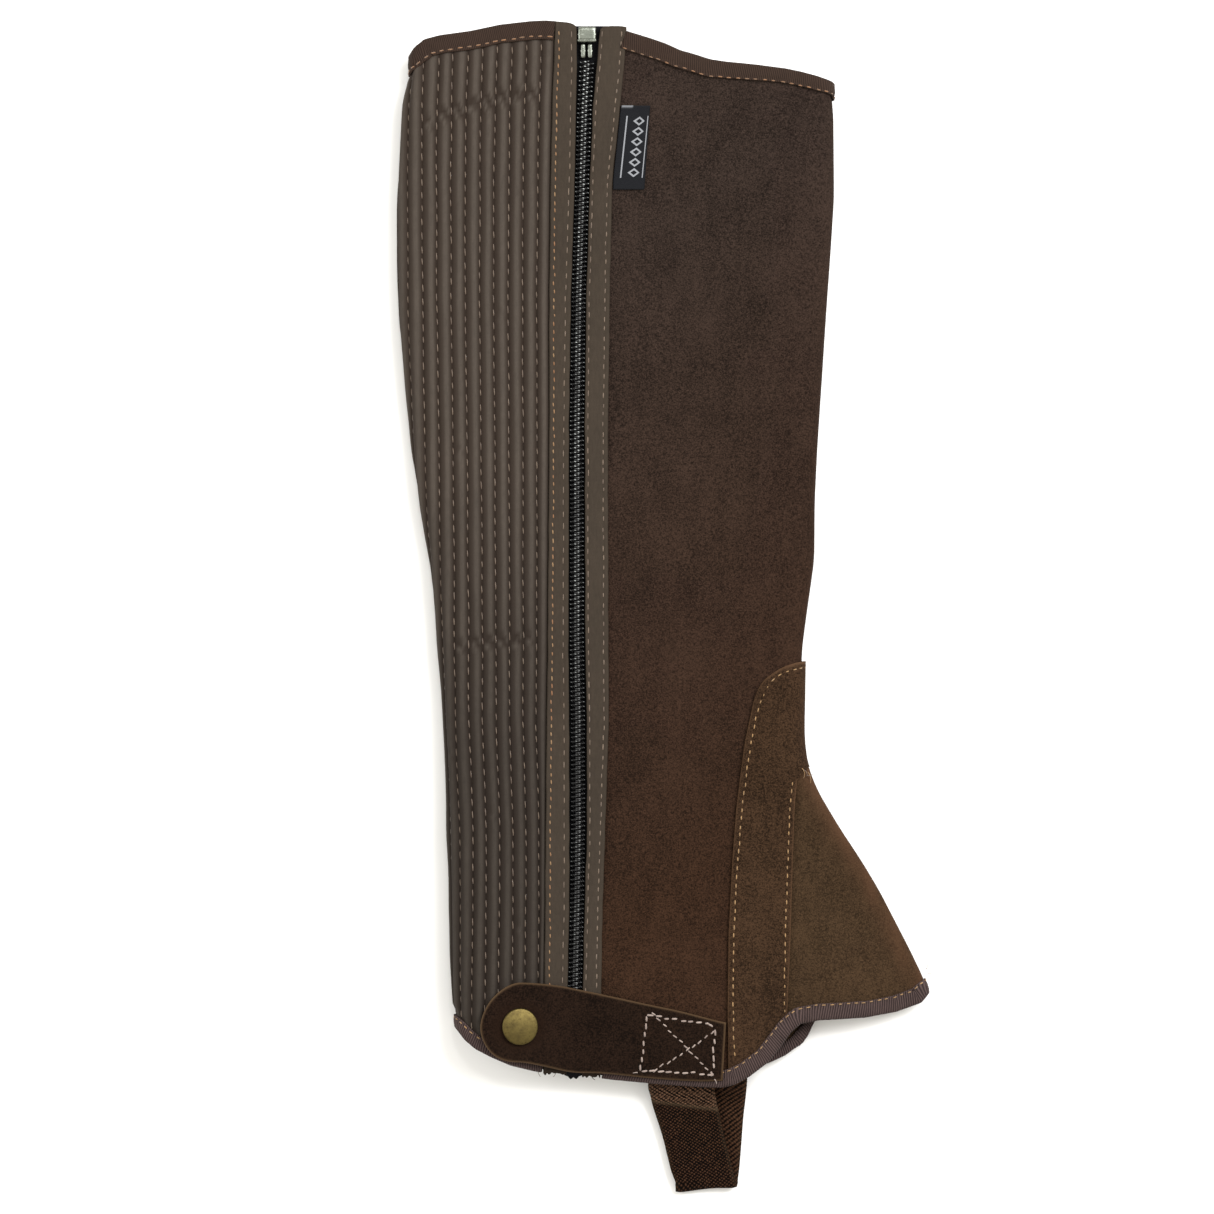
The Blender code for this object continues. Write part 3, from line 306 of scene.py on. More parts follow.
def surface(height, arc):
    """Points of the wall's outer face by height and arc."""
    x = look(WALL_X, height, arc, ARCS)
    z = look(WALL_Z, height, arc, ARCS)
    return np.stack([x, height, z], axis=-1)


def wall(height, arc, out):
    """Points of the wall's outer face moved out along its normal."""
    height, arc, out = np.broadcast_arrays(*(np.asarray(v, float) for v in (height, arc, out)))
    along = surface(height, arc + 0.6) - surface(height, arc - 0.6)
    down = surface(height - 2.0, arc) - surface(height + 2.0, arc)
    return surface(height, arc) + unit(np.cross(along, down)) * out[..., None]


def fold(height, which):
    """Arc of the front fold (0) or back fold (1), or the whole way round (2)."""
    return np.interp(-np.asarray(height, float), -HEIGHTS, ENDS[:, which])


def over(height, across):
    """Arc of a point on the side that faces up."""
    height, across = np.broadcast_arrays(*(np.asarray(v, float) for v in (height, across)))
    return look(ARC_TOP, height, across, ACROSS)


def under(height, across):
    """Arc of a point on the side that lies on the floor, the long way round the calf."""
    height, across = np.broadcast_arrays(*(np.asarray(v, float) for v in (height, across)))
    return look(ARC_UNDER, height, across, ACROSS)


def edge_height(near, far, arc_at, guess, inset, sign):
    """Height where the column of arcs meets an edge, moved in by inset (sign +1 is a top edge)."""
    height = np.asarray(guess, float)
    for _ in range(12):
        arc = arc_at(height)
        is_far = (arc > fold(height, 1)) | (arc < fold(height, 0))
        across = look(WALL_X, height, arc, ARCS)
        values = []
        for table in (near, far):
            slope = (column(table, across + 1.0) - column(table, across - 1.0)) / 2.0
            stretch = np.minimum(np.sqrt(1.0 + slope * slope), 1.9)
            values.append(column(table, across) - sign * inset * stretch)
        wanted = np.where(is_far, values[1], values[0])
        height = 0.5 * height + 0.5 * wanted
    return height


def top_height(arc_at, count=1, inset=EDGE_INSET):
    """Heights where count columns of arcs meet the top edge, inset below it."""
    return edge_height(TOP_NEAR, TOP_FAR, arc_at, np.full(count, 225.0), inset, 1.0)


def bottom_height(arc_at, count=1, inset=EDGE_INSET):
    """Heights where count columns of arcs meet the bottom edge, inset above it."""
    return edge_height(BOTTOM_NEAR, BOTTOM_FAR, arc_at, np.full(count, -180.0), inset, -1.0)


def ripple(u, v, seed, waves=7):
    """Sum of sines in directions and phases drawn from the seed; about -1 to 1."""
    draw = np.random.default_rng(seed)
    total = 0.0
    for _ in range(waves):
        turn, phase, pitch = draw.uniform(0.0, 6.283, 2).tolist() + [draw.uniform(0.6, 1.7)]
        total = total + np.sin(pitch * (u * math.cos(turn) + v * math.sin(turn)) * 6.283 + phase)
    return total / math.sqrt(waves) / 1.4


def net(rows, columns, flip=False, closed=False):
    """Quads of a grid of rows by columns, point (r, c) at r * columns + c."""
    last = columns if closed else columns - 1
    r, c = np.meshgrid(np.arange(rows - 1), np.arange(last), indexing="ij")
    a, b = (r * columns + c).ravel(), (r * columns + (c + 1) % columns).ravel()
    quads = np.stack([a, b, b + columns, a + columns], axis=1)
    return quads[:, ::-1] if flip else quads


def add_piece(name, points, quads, made_of, uv=None, marks=None, hides=()):
    """An object of points in millimetres; uv is in centimetres of cloth, marks are point values."""
    mesh = bpy.data.meshes.new(name)
    points = np.asarray(points, float).reshape(-1, 3) * MM
    quads = np.asarray(quads)
    mesh.from_pydata(points, [], quads)
    mesh.shade_smooth()
    if uv is not None:
        layer = mesh.uv_layers.new(name="cloth")
        corners = np.empty(len(mesh.loops), int)
        mesh.loops.foreach_get("vertex_index", corners)
        layer.data.foreach_set("uv", np.asarray(uv, float).reshape(-1, 2)[corners].ravel())
    for mark, values in (marks or {}).items():
        layer = mesh.attributes.new(mark, "FLOAT", "POINT")
        layer.data.foreach_set("value", np.asarray(values, float).ravel())
    mesh.materials.append(bpy.data.materials[made_of])
    obj = bpy.data.objects.new(name, mesh)
    bpy.context.scene.collection.objects.link(obj)
    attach(obj, "root")
    if hides:
        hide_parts(*hides)
    return obj


def thicken(obj, thickness):
    """Gives a sheet its wall, inwards from the face that shows."""
    wall_of = obj.modifiers.new("wall", "SOLIDIFY")
    wall_of.thickness = thickness * MM
    wall_of.offset = -1.0
    return obj


def weld(points, quads, *values):
    """Merges points of two nets that lie in the same place."""
    _, first, place = np.unique(np.round(points, 4), axis=0, return_index=True, return_inverse=True)
    return [points[first], place.ravel()[quads]] + [value[first] for value in values]


def normal_at(height, arc):
    """Outward normal of the wall."""
    return unit(wall(height, arc, 0.5) - wall(height, arc, -0.5))


def along_path(points, spacing_or_count):
    """Running length of a row of points, and even stations along it."""
    run = np.concatenate([[0.0], np.cumsum(np.linalg.norm(np.diff(points, axis=0), axis=1))])
    if isinstance(spacing_or_count, int):
        return run, np.linspace(0.0, run[-1], spacing_or_count)
    return run, np.arange(0.5 * spacing_or_count, run[-1], spacing_or_count)


def tubes(spine, side, up, radius, sides=6):
    """Tubes round many short spines at once: spine (n, k, 3), radius broadcast to (n, k).

    Ring point = spine + radius * (cos(turn) * side + sin(turn) * up); ends are closed.
    """
    n, k = spine.shape[:2]
    radius = np.broadcast_to(radius, (n, k))[..., None, None]
    turn = np.arange(sides) * 2.0 * math.pi / sides
    ring = (np.cos(turn)[None, None, :, None] * side[:, :, None, :]
            + np.sin(turn)[None, None, :, None] * up[:, :, None, :])
    points = spine[:, :, None, :] + radius * ring
    one = net(k, sides, flip=True, closed=True)
    ends = np.array([[0, sides - 1, sides - 2, 1], [1, sides - 2, sides - 3, 2]][: sides // 2 - 1])
    one = np.concatenate([one, ends[:, ::-1], ends + (k - 1) * sides])
    quads = (one[None] + (np.arange(n) * k * sides)[:, None, None]).reshape(-1, 4)
    return points.reshape(-1, 3), quads


def dashes(height, arc, out, pitch, length, radius, seed, sway, lean=0.0, rise=0.25):
    """Stitches laid on the wall along a line of places.

    Each is a short thread whose middle stands rise times its radius over out and whose ends dip
    into the cloth; sway moves it sideways, lean turns it, both in millimetres.
    """
    height, arc, out = np.broadcast_arrays(*(np.asarray(v, float) for v in (height, arc, out)))
    run, at = along_path(wall(height, arc, out), float(pitch))
    draw = np.random.default_rng(seed)
    at = at + draw.normal(0.0, 0.06 * pitch, len(at))
    long = length * draw.uniform(0.85, 1.15, len(at))
    step = np.array([-0.5, -0.3, 0.0, 0.3, 0.5])
    where = at[:, None] + long[:, None] * step
    h, a, o = (np.interp(where, run, v) for v in (height, arc, out))
    dh, da = (np.interp(where, run, np.gradient(v, run)) for v in (height, arc))
    swing = (draw.normal(0.0, 1.0, len(at)) * sway)[:, None] + lean * step
    h, a = h - da * swing, a + dh * swing
    o = o + radius * np.array([-1.5, -0.1, rise, -0.1, -1.5])
    spine = wall(h, a, o)
    up = normal_at(h, a)
    way = np.gradient(spine, axis=1)
    thick = radius * np.array([0.55, 0.92, 1.0, 0.92, 0.55])
    points, quads = tubes(spine, unit(np.cross(way, up)), up, thick)
    tone = np.repeat(draw.uniform(0.0, 1.0, len(at)), 30)
    return points, quads, tone


def joined(parts):
    """Several (points, quads, tone) as one."""
    shift = np.cumsum([0] + [len(p[0]) for p in parts[:-1]])
    return (np.concatenate([p[0] for p in parts]),
            np.concatenate([p[1] + s for p, s in zip(parts, shift)]),
            np.concatenate([p[2] for p in parts]))


def add_thread(name, parts, made_of):
    """One piece of many stitches, each with its own tone."""
    points, quads, tone = joined(parts)
    return add_piece(name, points, quads, made_of, marks={"tone": tone})


def smooth_line(knots, count):
    """count points on a curve through the knots: cubic pieces that take their slope from neighbours."""
    knots = np.asarray(knots, float)
    t = np.linspace(0.0, len(knots) - 1.0, count)
    i = np.minimum(t.astype(int), len(knots) - 2)
    f = (t - i).reshape((-1,) + (1,) * (knots.ndim - 1))
    ends = np.concatenate([2 * knots[:1] - knots[1:2], knots, 2 * knots[-1:] - knots[-2:-1]])
    a, b, c, d = ends[i], ends[i + 1], ends[i + 2], ends[i + 3]
    return 0.5 * (2 * b + (c - a) * f + (2 * a - 5 * b + 4 * c - d) * f ** 2
                  + (3 * b - a - 3 * c + d) * f ** 3)


def put(tree, kind, inputs=None, **settings):
    """Adds a node; an input is a plain value or another node's output."""
    node = tree.nodes.new(kind)
    for name, value in settings.items():
        setattr(node, name, value)
    for name, value in (inputs or {}).items():
        if isinstance(value, bpy.types.NodeSocket):
            tree.links.new(value, node.inputs[name])
        else:
            node.inputs[name].default_value = value
    return node


def sums(tree, operation, a, b=0.0, c=0.0, clamp=False):
    """A Math node's result."""
    return put(tree, "ShaderNodeMath", {0: a, 1: b, 2: c}, operation=operation,
               use_clamp=clamp).outputs[0]


def times(tree, a, b):
    """a * b."""
    return sums(tree, "MULTIPLY", a, b)


def plus(tree, a, b, clamp=False):
    """a + b, kept between 0 and 1 with clamp."""
    return sums(tree, "ADD", a, b, clamp=clamp)


def blend_colors(tree, share, a, b, mode="MIX"):
    """a + share * (b - a), or with MULTIPLY a share of the way from a to a * b."""
    made = put(tree, "ShaderNodeMix", {0: share, 6: a, 7: b}, data_type="RGBA", blend_type=mode)
    return made.outputs[2]


def noise(tree, vector, scale, detail=2.0, roughness=0.5, stretch=None):
    """A noise texture's value, its places first scaled by stretch where it is given."""
    if stretch:
        vector = put(tree, "ShaderNodeMapping", {"Vector": vector, "Scale": stretch}).outputs[0]
    return put(tree, "ShaderNodeTexNoise", {"Vector": vector, "Scale": scale, "Detail": detail,
                                            "Roughness": roughness}).outputs[0]


def parts_of(tree, vector):
    """The x, y and z of a place."""
    return put(tree, "ShaderNodeSeparateXYZ", {0: vector}).outputs


def ramp(tree, value, low, high):
    """0 below low, 1 above high, even between."""
    return put(tree, "ShaderNodeMapRange", {0: value, 1: low, 2: high}, clamp=True).outputs[0]


def new_group(name, inputs, outputs):
    """A shader node group with named sockets: (name, kind, default) in, (name, kind) out."""
    tree = bpy.data.node_groups.new(name, "ShaderNodeTree")
    kinds = {"value": "NodeSocketFloat", "color": "NodeSocketColor", "vector": "NodeSocketVector"}
    for socket_name, kind, default in inputs:
        socket = tree.interface.new_socket(name=socket_name, in_out="INPUT", socket_type=kinds[kind])
        if default is not None:
            socket.default_value = default
    for socket_name, kind in outputs:
        tree.interface.new_socket(name=socket_name, in_out="OUTPUT", socket_type=kinds[kind])
    return tree, tree.nodes.new("NodeGroupInput").outputs, tree.nodes.new("NodeGroupOutput").inputs


def nap_group():
    """Brushed nap: slow patches, brushed streaks and fine grain mix two colours; grain is raised."""
    tree, given, out = new_group("brushed nap", [
        ("Vector", "vector", None), ("Dark", "color", (0.02, 0.012, 0.008, 1.0)),
        ("Light", "color", (0.08, 0.05, 0.035, 1.0)), ("Fleck", "color", (0.2, 0.15, 0.11, 1.0)),
        ("Patch Scale", "value", 38.0), ("Grain Scale", "value", 620.0), ("Contrast", "value", 1.0),
    ], [("Color", "color"), ("Height", "value"), ("Roughness", "value")])
    patch = noise(tree, given["Vector"], given["Patch Scale"], 4.0, 0.6)
    streak = noise(tree, given["Vector"], times(tree, given["Patch Scale"], 5.0), 3.0, 0.6,
                   (1.0, 0.45, 1.0))
    grain = noise(tree, given["Vector"], given["Grain Scale"], 3.0, 0.7)
    fine = noise(tree, given["Vector"], times(tree, given["Grain Scale"], 2.1), 2.0, 0.6)
    mixed = plus(tree, times(tree, patch, 0.32), times(tree, streak, 0.26))
    mixed = plus(tree, mixed, times(tree, grain, 0.7))
    mixed = plus(tree, mixed, times(tree, fine, 1.1))
    centred = sums(tree, "SUBTRACT", mixed, 1.19)
    share = plus(tree, times(tree, centred, given["Contrast"]), 0.5, clamp=True)
    color = blend_colors(tree, share, given["Dark"], given["Light"])
    flecks = times(tree, ramp(tree, fine, 0.66, 0.8), 0.55)
    color = blend_colors(tree, flecks, color, given["Fleck"])
    tree.links.new(color, out["Color"])
    raised = plus(tree, times(tree, grain, 0.6), times(tree, fine, 0.4))
    tree.links.new(raised, out["Height"])
    tree.links.new(plus(tree, times(tree, grain, 0.12), 0.84), out["Roughness"])


def lines_group():
    """Rows across the cloth's own map: a rounded wave of the given pitch, turned by Lean."""
    tree, given, out = new_group("woven rows", [
        ("Vector", "vector", None), ("Pitch", "value", 0.06), ("Lean", "value", 0.0),
        ("Break Up", "value", 0.3),
    ], [("Height", "value")])
    parts = parts_of(tree, given["Vector"])
    shift = times(tree, noise(tree, given["Vector"], 9.0, 2.0), given["Break Up"])
    at = plus(tree, sums(tree, "MULTIPLY_ADD", parts[1], given["Lean"], parts[0]),
              times(tree, shift, given["Pitch"]))
    turn = times(tree, sums(tree, "DIVIDE", at, given["Pitch"]), 6.2832)
    wave = sums(tree, "MULTIPLY_ADD", sums(tree, "SINE", turn), 0.5, 0.5)
    tree.links.new(wave, out["Height"])


def weave_group():
    """Crossing threads: rows along and across the cloth's map multiplied, with uneven yarn."""
    tree, given, out = new_group("crossed threads", [
        ("Vector", "vector", None), ("Pitch", "value", 0.05), ("Lean", "value", 0.0),
    ], [("Height", "value"), ("Yarn", "value")])
    turned = put(tree, "ShaderNodeMapping", {"Vector": given["Vector"], "Rotation": (0.0, 0.0, 1.5708)})
    one, two = (use(tree, "woven rows", Vector=vector, Pitch=given["Pitch"], Lean=given["Lean"])
                for vector in (given["Vector"], turned.outputs[0]))
    tree.links.new(times(tree, one["Height"], two["Height"]), out["Height"])
    tree.links.new(noise(tree, given["Vector"], 30.0, 3.0, 0.7), out["Yarn"])


def use(tree, name, **inputs):
    """Places a shared group, with its inputs given by name (spaces as underscores)."""
    made = tree.nodes.new("ShaderNodeGroup")
    made.node_tree = bpy.data.node_groups[name]
    for key, value in inputs.items():
        socket = made.inputs[key.replace("_", " ")]
        if isinstance(value, bpy.types.NodeSocket):
            tree.links.new(value, socket)
        else:
            socket.default_value = value
    return made.outputs


def begin(name, roughness=0.85, metallic=0.0, **plain):
    """A material with its Principled shader; plain values go straight onto its sockets."""
    made = bpy.data.materials.new(name)
    made.use_nodes = True
    tree = made.node_tree
    shader = tree.nodes["Principled BSDF"]
    shader.inputs["Roughness"].default_value = roughness
    shader.inputs["Metallic"].default_value = metallic
    for key, value in plain.items():
        shader.inputs[key.replace("_", " ")].default_value = value
    return tree, shader


def dress(tree, shader, color, height, strength, distance):
    """The colour onto the shader, and height as fine relief on its normal."""
    bump = put(tree, "ShaderNodeBump", {"Height": height, "Strength": strength, "Distance": distance})
    tree.links.new(color, shader.inputs["Base Color"])
    tree.links.new(bump.outputs[0], shader.inputs["Normal"])


def place_of(tree):
    """Place in the object, in metres."""
    return put(tree, "ShaderNodeTexCoord").outputs["Object"]


def cloth_of(tree):
    """Place on the cloth, in centimetres."""
    return put(tree, "ShaderNodeUVMap", uv_map="cloth").outputs[0]


def mark_of(tree, mark):
    """The value of a mark on the mesh's points."""
    return put(tree, "ShaderNodeAttribute", attribute_name=mark).outputs["Fac"]


def rgb(color, share=1.0):
    """The colour times share, with full opacity."""
    return tuple(value * share for value in color) + (1.0,)


def suede_material(name, color, patch, grain, contrast, spread, warm, cut, drift=False):
    """Split suede: brushed nap, its colour times warm by the mark of the paler tint, the colour cut by
    'edge'.

    With drift its tint goes from cool at the top to warm at the foot.
    """
    tree, shader = begin(name, 0.92, Sheen_Weight=0.15, Sheen_Roughness=0.5,
                         Sheen_Tint=rgb(color, 4.0), Specular_IOR_Level=0.04)
    nap = use(tree, "brushed nap", Vector=place_of(tree), Dark=rgb(color, 1.0 - spread),
              Light=rgb(color, 1.0 + spread), Fleck=rgb(color, 3.2), Patch_Scale=patch,
              Grain_Scale=grain, Contrast=contrast)
    paler_tint = rgb([c * w for c, w in zip(color, warm)])
    tinted = blend_colors(tree, mark_of(tree, "paler_tint"), nap["Color"], paler_tint)
    pale = blend_colors(tree, mark_of(tree, "edge"), tinted, rgb(cut))
    if drift:
        parts = parts_of(tree, place_of(tree))
        down = ramp(tree, sums(tree, "MULTIPLY_ADD", parts[0], -0.6, parts[1]), 0.16, -0.12)
        tint = blend_colors(tree, down, (0.86, 0.97, 1.08, 1.0), (0.92, 0.76, 0.6, 1.0))
        pale = blend_colors(tree, 1.0, pale, tint, "MULTIPLY")
    tree.links.new(nap["Roughness"], shader.inputs["Roughness"])
    dress(tree, shader, pale, nap["Height"], 0.55, 0.0005)


def plain_cloth_material(name, color, groove, low=1.0):
    """Close-woven cloth: fine yarn along the leg, with painted shade, darker, where the mark 'groove' is
    1.

    Below the middle of the leg its colour falls to the share low.
    """
    tree, shader = begin(name, 0.8, Sheen_Weight=0.2, Sheen_Roughness=0.45,
                         Sheen_Tint=rgb(color, 3.0), Specular_IOR_Level=0.12)
    at = place_of(tree)
    yarn = noise(tree, at, 900.0, 3.0, 0.7, (1.0, 0.3, 1.0))
    patch = noise(tree, at, 30.0, 3.0, 0.6)
    share = plus(tree, times(tree, yarn, 0.7), times(tree, patch, 0.5))
    base = blend_colors(tree, ramp(tree, share, 0.35, 0.85), rgb(color, 0.78), rgb(color, 1.22))
    # painted shade: the mark 'groove' darkens the colour towards a deep reddish brown
    dark = blend_colors(tree, times(tree, mark_of(tree, "groove"), groove), base,
                        rgb((color[0] * 0.4, color[1] * 0.33, color[2] * 0.29)))
    down = parts_of(tree, at)[1]
    lower = blend_colors(tree, 1.0, dark, rgb((low, low, low)), "MULTIPLY")
    dark = blend_colors(tree, ramp(tree, down, 0.06, -0.06), dark, lower)
    weave = use(tree, "crossed threads", Vector=cloth_of(tree), Pitch=0.055)
    height = plus(tree, times(tree, weave["Height"], 0.6), times(tree, yarn, 0.6))
    dress(tree, shader, dark, height, 0.35, 0.0003)


def rows_material(name, color, pitch, lean, depth, strength, high=1.5):
    """Ribbed or twilled tape: rows on the cloth's own map, dark between, uneven in tone."""
    tree, shader = begin(name, 0.8, Specular_IOR_Level=0.1)
    rows = use(tree, "woven rows", Vector=cloth_of(tree), Pitch=pitch, Lean=lean)["Height"]
    uneven = noise(tree, place_of(tree), 140.0, 4.0, 0.7)
    share = plus(tree, times(tree, rows, 0.65), times(tree, uneven, 0.45))
    base = blend_colors(tree, ramp(tree, share, 0.15, 0.85), rgb(color, 1.0 - depth), rgb(color, high))
    paler_tint = blend_colors(tree, mark_of(tree, "edge"), base, rgb(color, 1.9))
    dress(tree, shader, paler_tint, rows, strength, 0.0004)


def twill_material(name, color):
    """Elastic twill: two leaning sets of rows crossed into dots, wide rows by the mark 'coarse'."""
    tree, shader = begin(name, 0.8, Specular_IOR_Level=0.04)
    cloth = cloth_of(tree)
    one = use(tree, "woven rows", Vector=cloth, Pitch=0.135, Lean=0.9, Break_Up=0.9)["Height"]
    two = use(tree, "woven rows", Vector=cloth, Pitch=0.15, Lean=-0.6, Break_Up=0.9)["Height"]
    wide = use(tree, "woven rows", Vector=cloth, Pitch=0.22, Lean=-0.8, Break_Up=0.4)["Height"]
    dots = times(tree, one, two)
    coarse = times(tree, wide, sums(tree, "MULTIPLY_ADD", one, 0.45, 0.55))
    rows = put(tree, "ShaderNodeMix", {0: mark_of(tree, "coarse"), 2: dots, 3: coarse},
               data_type="FLOAT").outputs[0]
    uneven = noise(tree, place_of(tree), 900.0, 3.0, 0.8)
    share = plus(tree, times(tree, rows, 0.6), times(tree, uneven, 0.8))
    # painted light: the mark 'lit' brightens the near strand's colour above its bend
    bright = blend_colors(tree, mark_of(tree, "lit"), rgb((0.05, 0.023, 0.012)), rgb((0.13, 0.07, 0.042)))
    base = blend_colors(tree, ramp(tree, share, 0.46, 0.9), rgb(color, 0.06), bright)
    # the mark 'edge' makes the colour paler: at the strap's edges, and as a painted highlight along the
    # near strand's bend
    paler_tint = blend_colors(tree, mark_of(tree, "edge"), base, rgb((0.05, 0.034, 0.02)))
    dress(tree, shader, paler_tint, rows, 0.9, 0.0004)


def thread_material(name, one, two, roughness=0.6, sheen=0.3):
    """Sewing thread: two colours mixed stitch by stitch with the mark 'tone', twisted strands."""
    tree, shader = begin(name, roughness, Sheen_Weight=sheen,
                         Specular_IOR_Level=0.12 + 0.75 * sheen)
    at = place_of(tree)
    twist = noise(tree, at, 2600.0, 2.0, 0.6)
    share = plus(tree, times(tree, mark_of(tree, "tone"), 0.8),
                 times(tree, twist, 0.3), clamp=True)
    base = blend_colors(tree, share, rgb(one), rgb(two))
    dress(tree, shader, base, twist, 0.4, 0.0002)


def metal_material(name, color, tarnish, roughness, scale=260.0, share=0.6):
    """Plated metal: cloudy tarnish and pits over a bright base."""
    tree, shader = begin(name, roughness, 1.0)
    at = place_of(tree)
    cloud = noise(tree, at, scale, 5.0, 0.65)
    pits = noise(tree, at, scale * 5.0, 2.0, 0.5)
    base = blend_colors(tree, times(tree, ramp(tree, cloud, 0.4, 0.75), share),
                        rgb(color), rgb(tarnish))
    base = blend_colors(tree, times(tree, ramp(tree, pits, 0.62, 0.72), 0.6), base,
                        rgb(tarnish, 0.5))
    tree.links.new(plus(tree, times(tree, cloud, 0.25), roughness - 0.1), shader.inputs["Roughness"])
    dress(tree, shader, base, pits, 0.15, 0.0002)


def coil_material():
    """Black nylon: glossy, with fine scuffs, and painted glints: pale spots set by a mark on the coil's
    crests.
    """
    tree, shader = begin("coil nylon", 0.2, Specular_IOR_Level=0.36)
    scuff = noise(tree, place_of(tree), 700.0, 3.0, 0.6)
    dark = blend_colors(tree, scuff, rgb((0.0004, 0.0004, 0.0006)), rgb((0.002, 0.002, 0.003)))
    # painted glints: the mark turns the colour pale on the crests
    glint = sums(tree, "POWER", mark_of(tree, "painted_glint"), 1.2)
    pale = blend_colors(tree, glint, dark, rgb((0.8, 0.85, 0.83)))
    tree.links.new(pale, shader.inputs["Base Color"])
    tree.links.new(plus(tree, times(tree, scuff, 0.25), 0.12), shader.inputs["Roughness"])


def label_material():
    """Black woven label: a row of hollow lozenges between two pale lines, and no words.

    A lozenge is where distance from its row / 0.2 + distance from its middle * 2.3 is 0.55 to 1.
    """
    tree, shader = begin("label satin", 0.7, Specular_IOR_Level=0.1)
    cloth = cloth_of(tree)
    parts = parts_of(tree, cloth)
    weave = use(tree, "crossed threads", Vector=cloth, Pitch=0.03)
    dark = blend_colors(tree, weave["Yarn"], rgb((0.003, 0.0033, 0.0045)), rgb((0.009, 0.0095, 0.012)))
    away = sums(tree, "ABSOLUTE", sums(tree, "SUBTRACT", parts[0], 0.78))
    share = sums(tree, "FRACT", sums(tree, "DIVIDE", parts[1], 0.42))
    repeat = sums(tree, "ABSOLUTE", sums(tree, "SUBTRACT", share, 0.5))
    spread = plus(tree, sums(tree, "DIVIDE", away, 0.2), times(tree, repeat, 2.3))
    lozenge = sums(tree, "LESS_THAN", spread, 1.0)
    hole = sums(tree, "GREATER_THAN", spread, 0.55)
    inside = times(tree, sums(tree, "GREATER_THAN", parts[1], 0.42),
                  sums(tree, "LESS_THAN", parts[1], 2.94))
    off = [sums(tree, "ABSOLUTE", sums(tree, "SUBTRACT", parts[0], at)) for at in (0.36, 1.12)]
    left, right = (sums(tree, "LESS_THAN", away_by, 0.025) for away_by in off)
    line = sums(tree, "MAXIMUM", left, right)
    pale = times(tree, sums(tree, "MAXIMUM", times(tree, lozenge, hole), line), inside)
    pale = sums(tree, "MAXIMUM", pale, mark_of(tree, "edge"))
    color = blend_colors(tree, times(tree, pale, 0.8), dark, rgb((0.26, 0.27, 0.29)))
    dress(tree, shader, color, weave["Height"], 0.5, 0.0003)


def floor_material(color):
    """Matt table, one part in a hundred uneven."""
    tree, shader = begin("studio floor", 0.9, Specular_IOR_Level=0.05)
    soft_of = noise(tree, place_of(tree), 3.0, 2.0)
    tree.links.new(blend_colors(tree, soft_of, rgb(color, 0.99), rgb(color)), shader.inputs["Base Color"])


# across, height, half length, half width, turn in degrees and depth of the panels' soft creases
SUEDE_CREASES = (
    (2.0, 88.0, 42.0, 9.0, 4.0, 0.59), (30.0, 60.0, 36.0, 12.0, -22.0, 0.51),
    (20.0, -7.0, 40.0, 5.0, 3.0, 0.37), (44.0, 6.0, 26.0, 9.0, 70.0, 0.59),
    (8.0, -90.0, 34.0, 11.0, 80.0, 0.51), (-8.0, 130.0, 30.0, 10.0, 84.0, 0.42),
    (48.0, 128.0, 26.0, 8.0, 78.0, -0.51), (28.0, 168.0, 34.0, 9.0, -12.0, 0.42),
    (18.0, -52.0, 24.0, 7.0, -30.0, -0.42), (2.0, -140.0, 26.0, 9.0, 10.0, 0.51),
)
GUSSET_CREASES = (
    (66.0, -112.0, 30.0, 5.0, -68.0, 0.5), (78.0, -136.0, 26.0, 6.0, -58.0, 0.4),
    (60.0, -142.0, 20.0, 5.0, -80.0, 0.35), (70.0, -98.0, 22.0, 3.0, -60.0, -0.3),
)
OVERLAY_CREASES = (
    (44.0, -60.0, 26.0, 4.0, 84.0, 0.25), (38.0, -120.0, 30.0, 5.0, 88.0, 0.3),
    (48.0, -44.0, 14.0, 4.0, 60.0, -0.2), (36.0, -160.0, 18.0, 5.0, 75.0, 0.25),
)
# rib between stitch lines, height, depth, slope of the pinch in millimetres across the rib
PUCKERS = (
    (0.5, 210.3, 1.1, 3.0), (1.5, 210.0, 1.3, -4.0), (2.5, 209.0, 1.4, 4.0), (3.5, 206.8, 1.4, 3.0),
    (4.5, 206.0, 1.3, -3.0), (5.5, 203.0, 1.2, 4.0), (6.5, 201.8, 1.2, 2.0), (7.5, 198.0, 0.7, 2.0),
    (0.6, -12.6, 0.8, 1.0), (1.5, -13.4, 1.1, -1.5), (2.5, -13.9, 1.3, 1.5), (3.5, -14.4, 1.2, -1.0),
    (4.5, -14.6, 1.1, 1.0), (5.5, -16.0, 0.8, 1.0), (2.5, 120.0, 0.25, 2.0), (5.5, 64.0, 0.3, -2.0),
    (3.5, -84.0, 0.25, 2.0), (1.5, -130.0, 0.3, 1.5), (6.5, -60.0, 0.3, 2.0), (9.5, 30.0, 0.4, 2.0),
    (10.5, 96.0, 0.4, -2.0), (10.5, -70.0, 0.4, 2.0),
)


def creased(table, across, height):
    """Sum of the table's creases: a bell across each one, fading out towards its ends."""
    total = np.zeros(np.broadcast(across, height).shape)
    for x, y, length, width, turn, depth in table:
        c, s = math.cos(math.radians(turn)), math.sin(math.radians(turn))
        along = (across - x) * c + (height - y) * s
        aside = (height - y) * c - (across - x) * s
        total -= depth * bell(aside, width) * bell(along, length, 4)
    return total


def rib_arc(height, phase):
    """Arc of a place in the ribs: whole phases are stitch lines, negative ones lie by the zip."""
    start = over(height, column(ZIP, height, 1))
    first = column(RIBS, height, 1)
    return start + np.where(phase < 0.0, first * (1.0 + phase), first + phase * column(RIBS, height, 2))


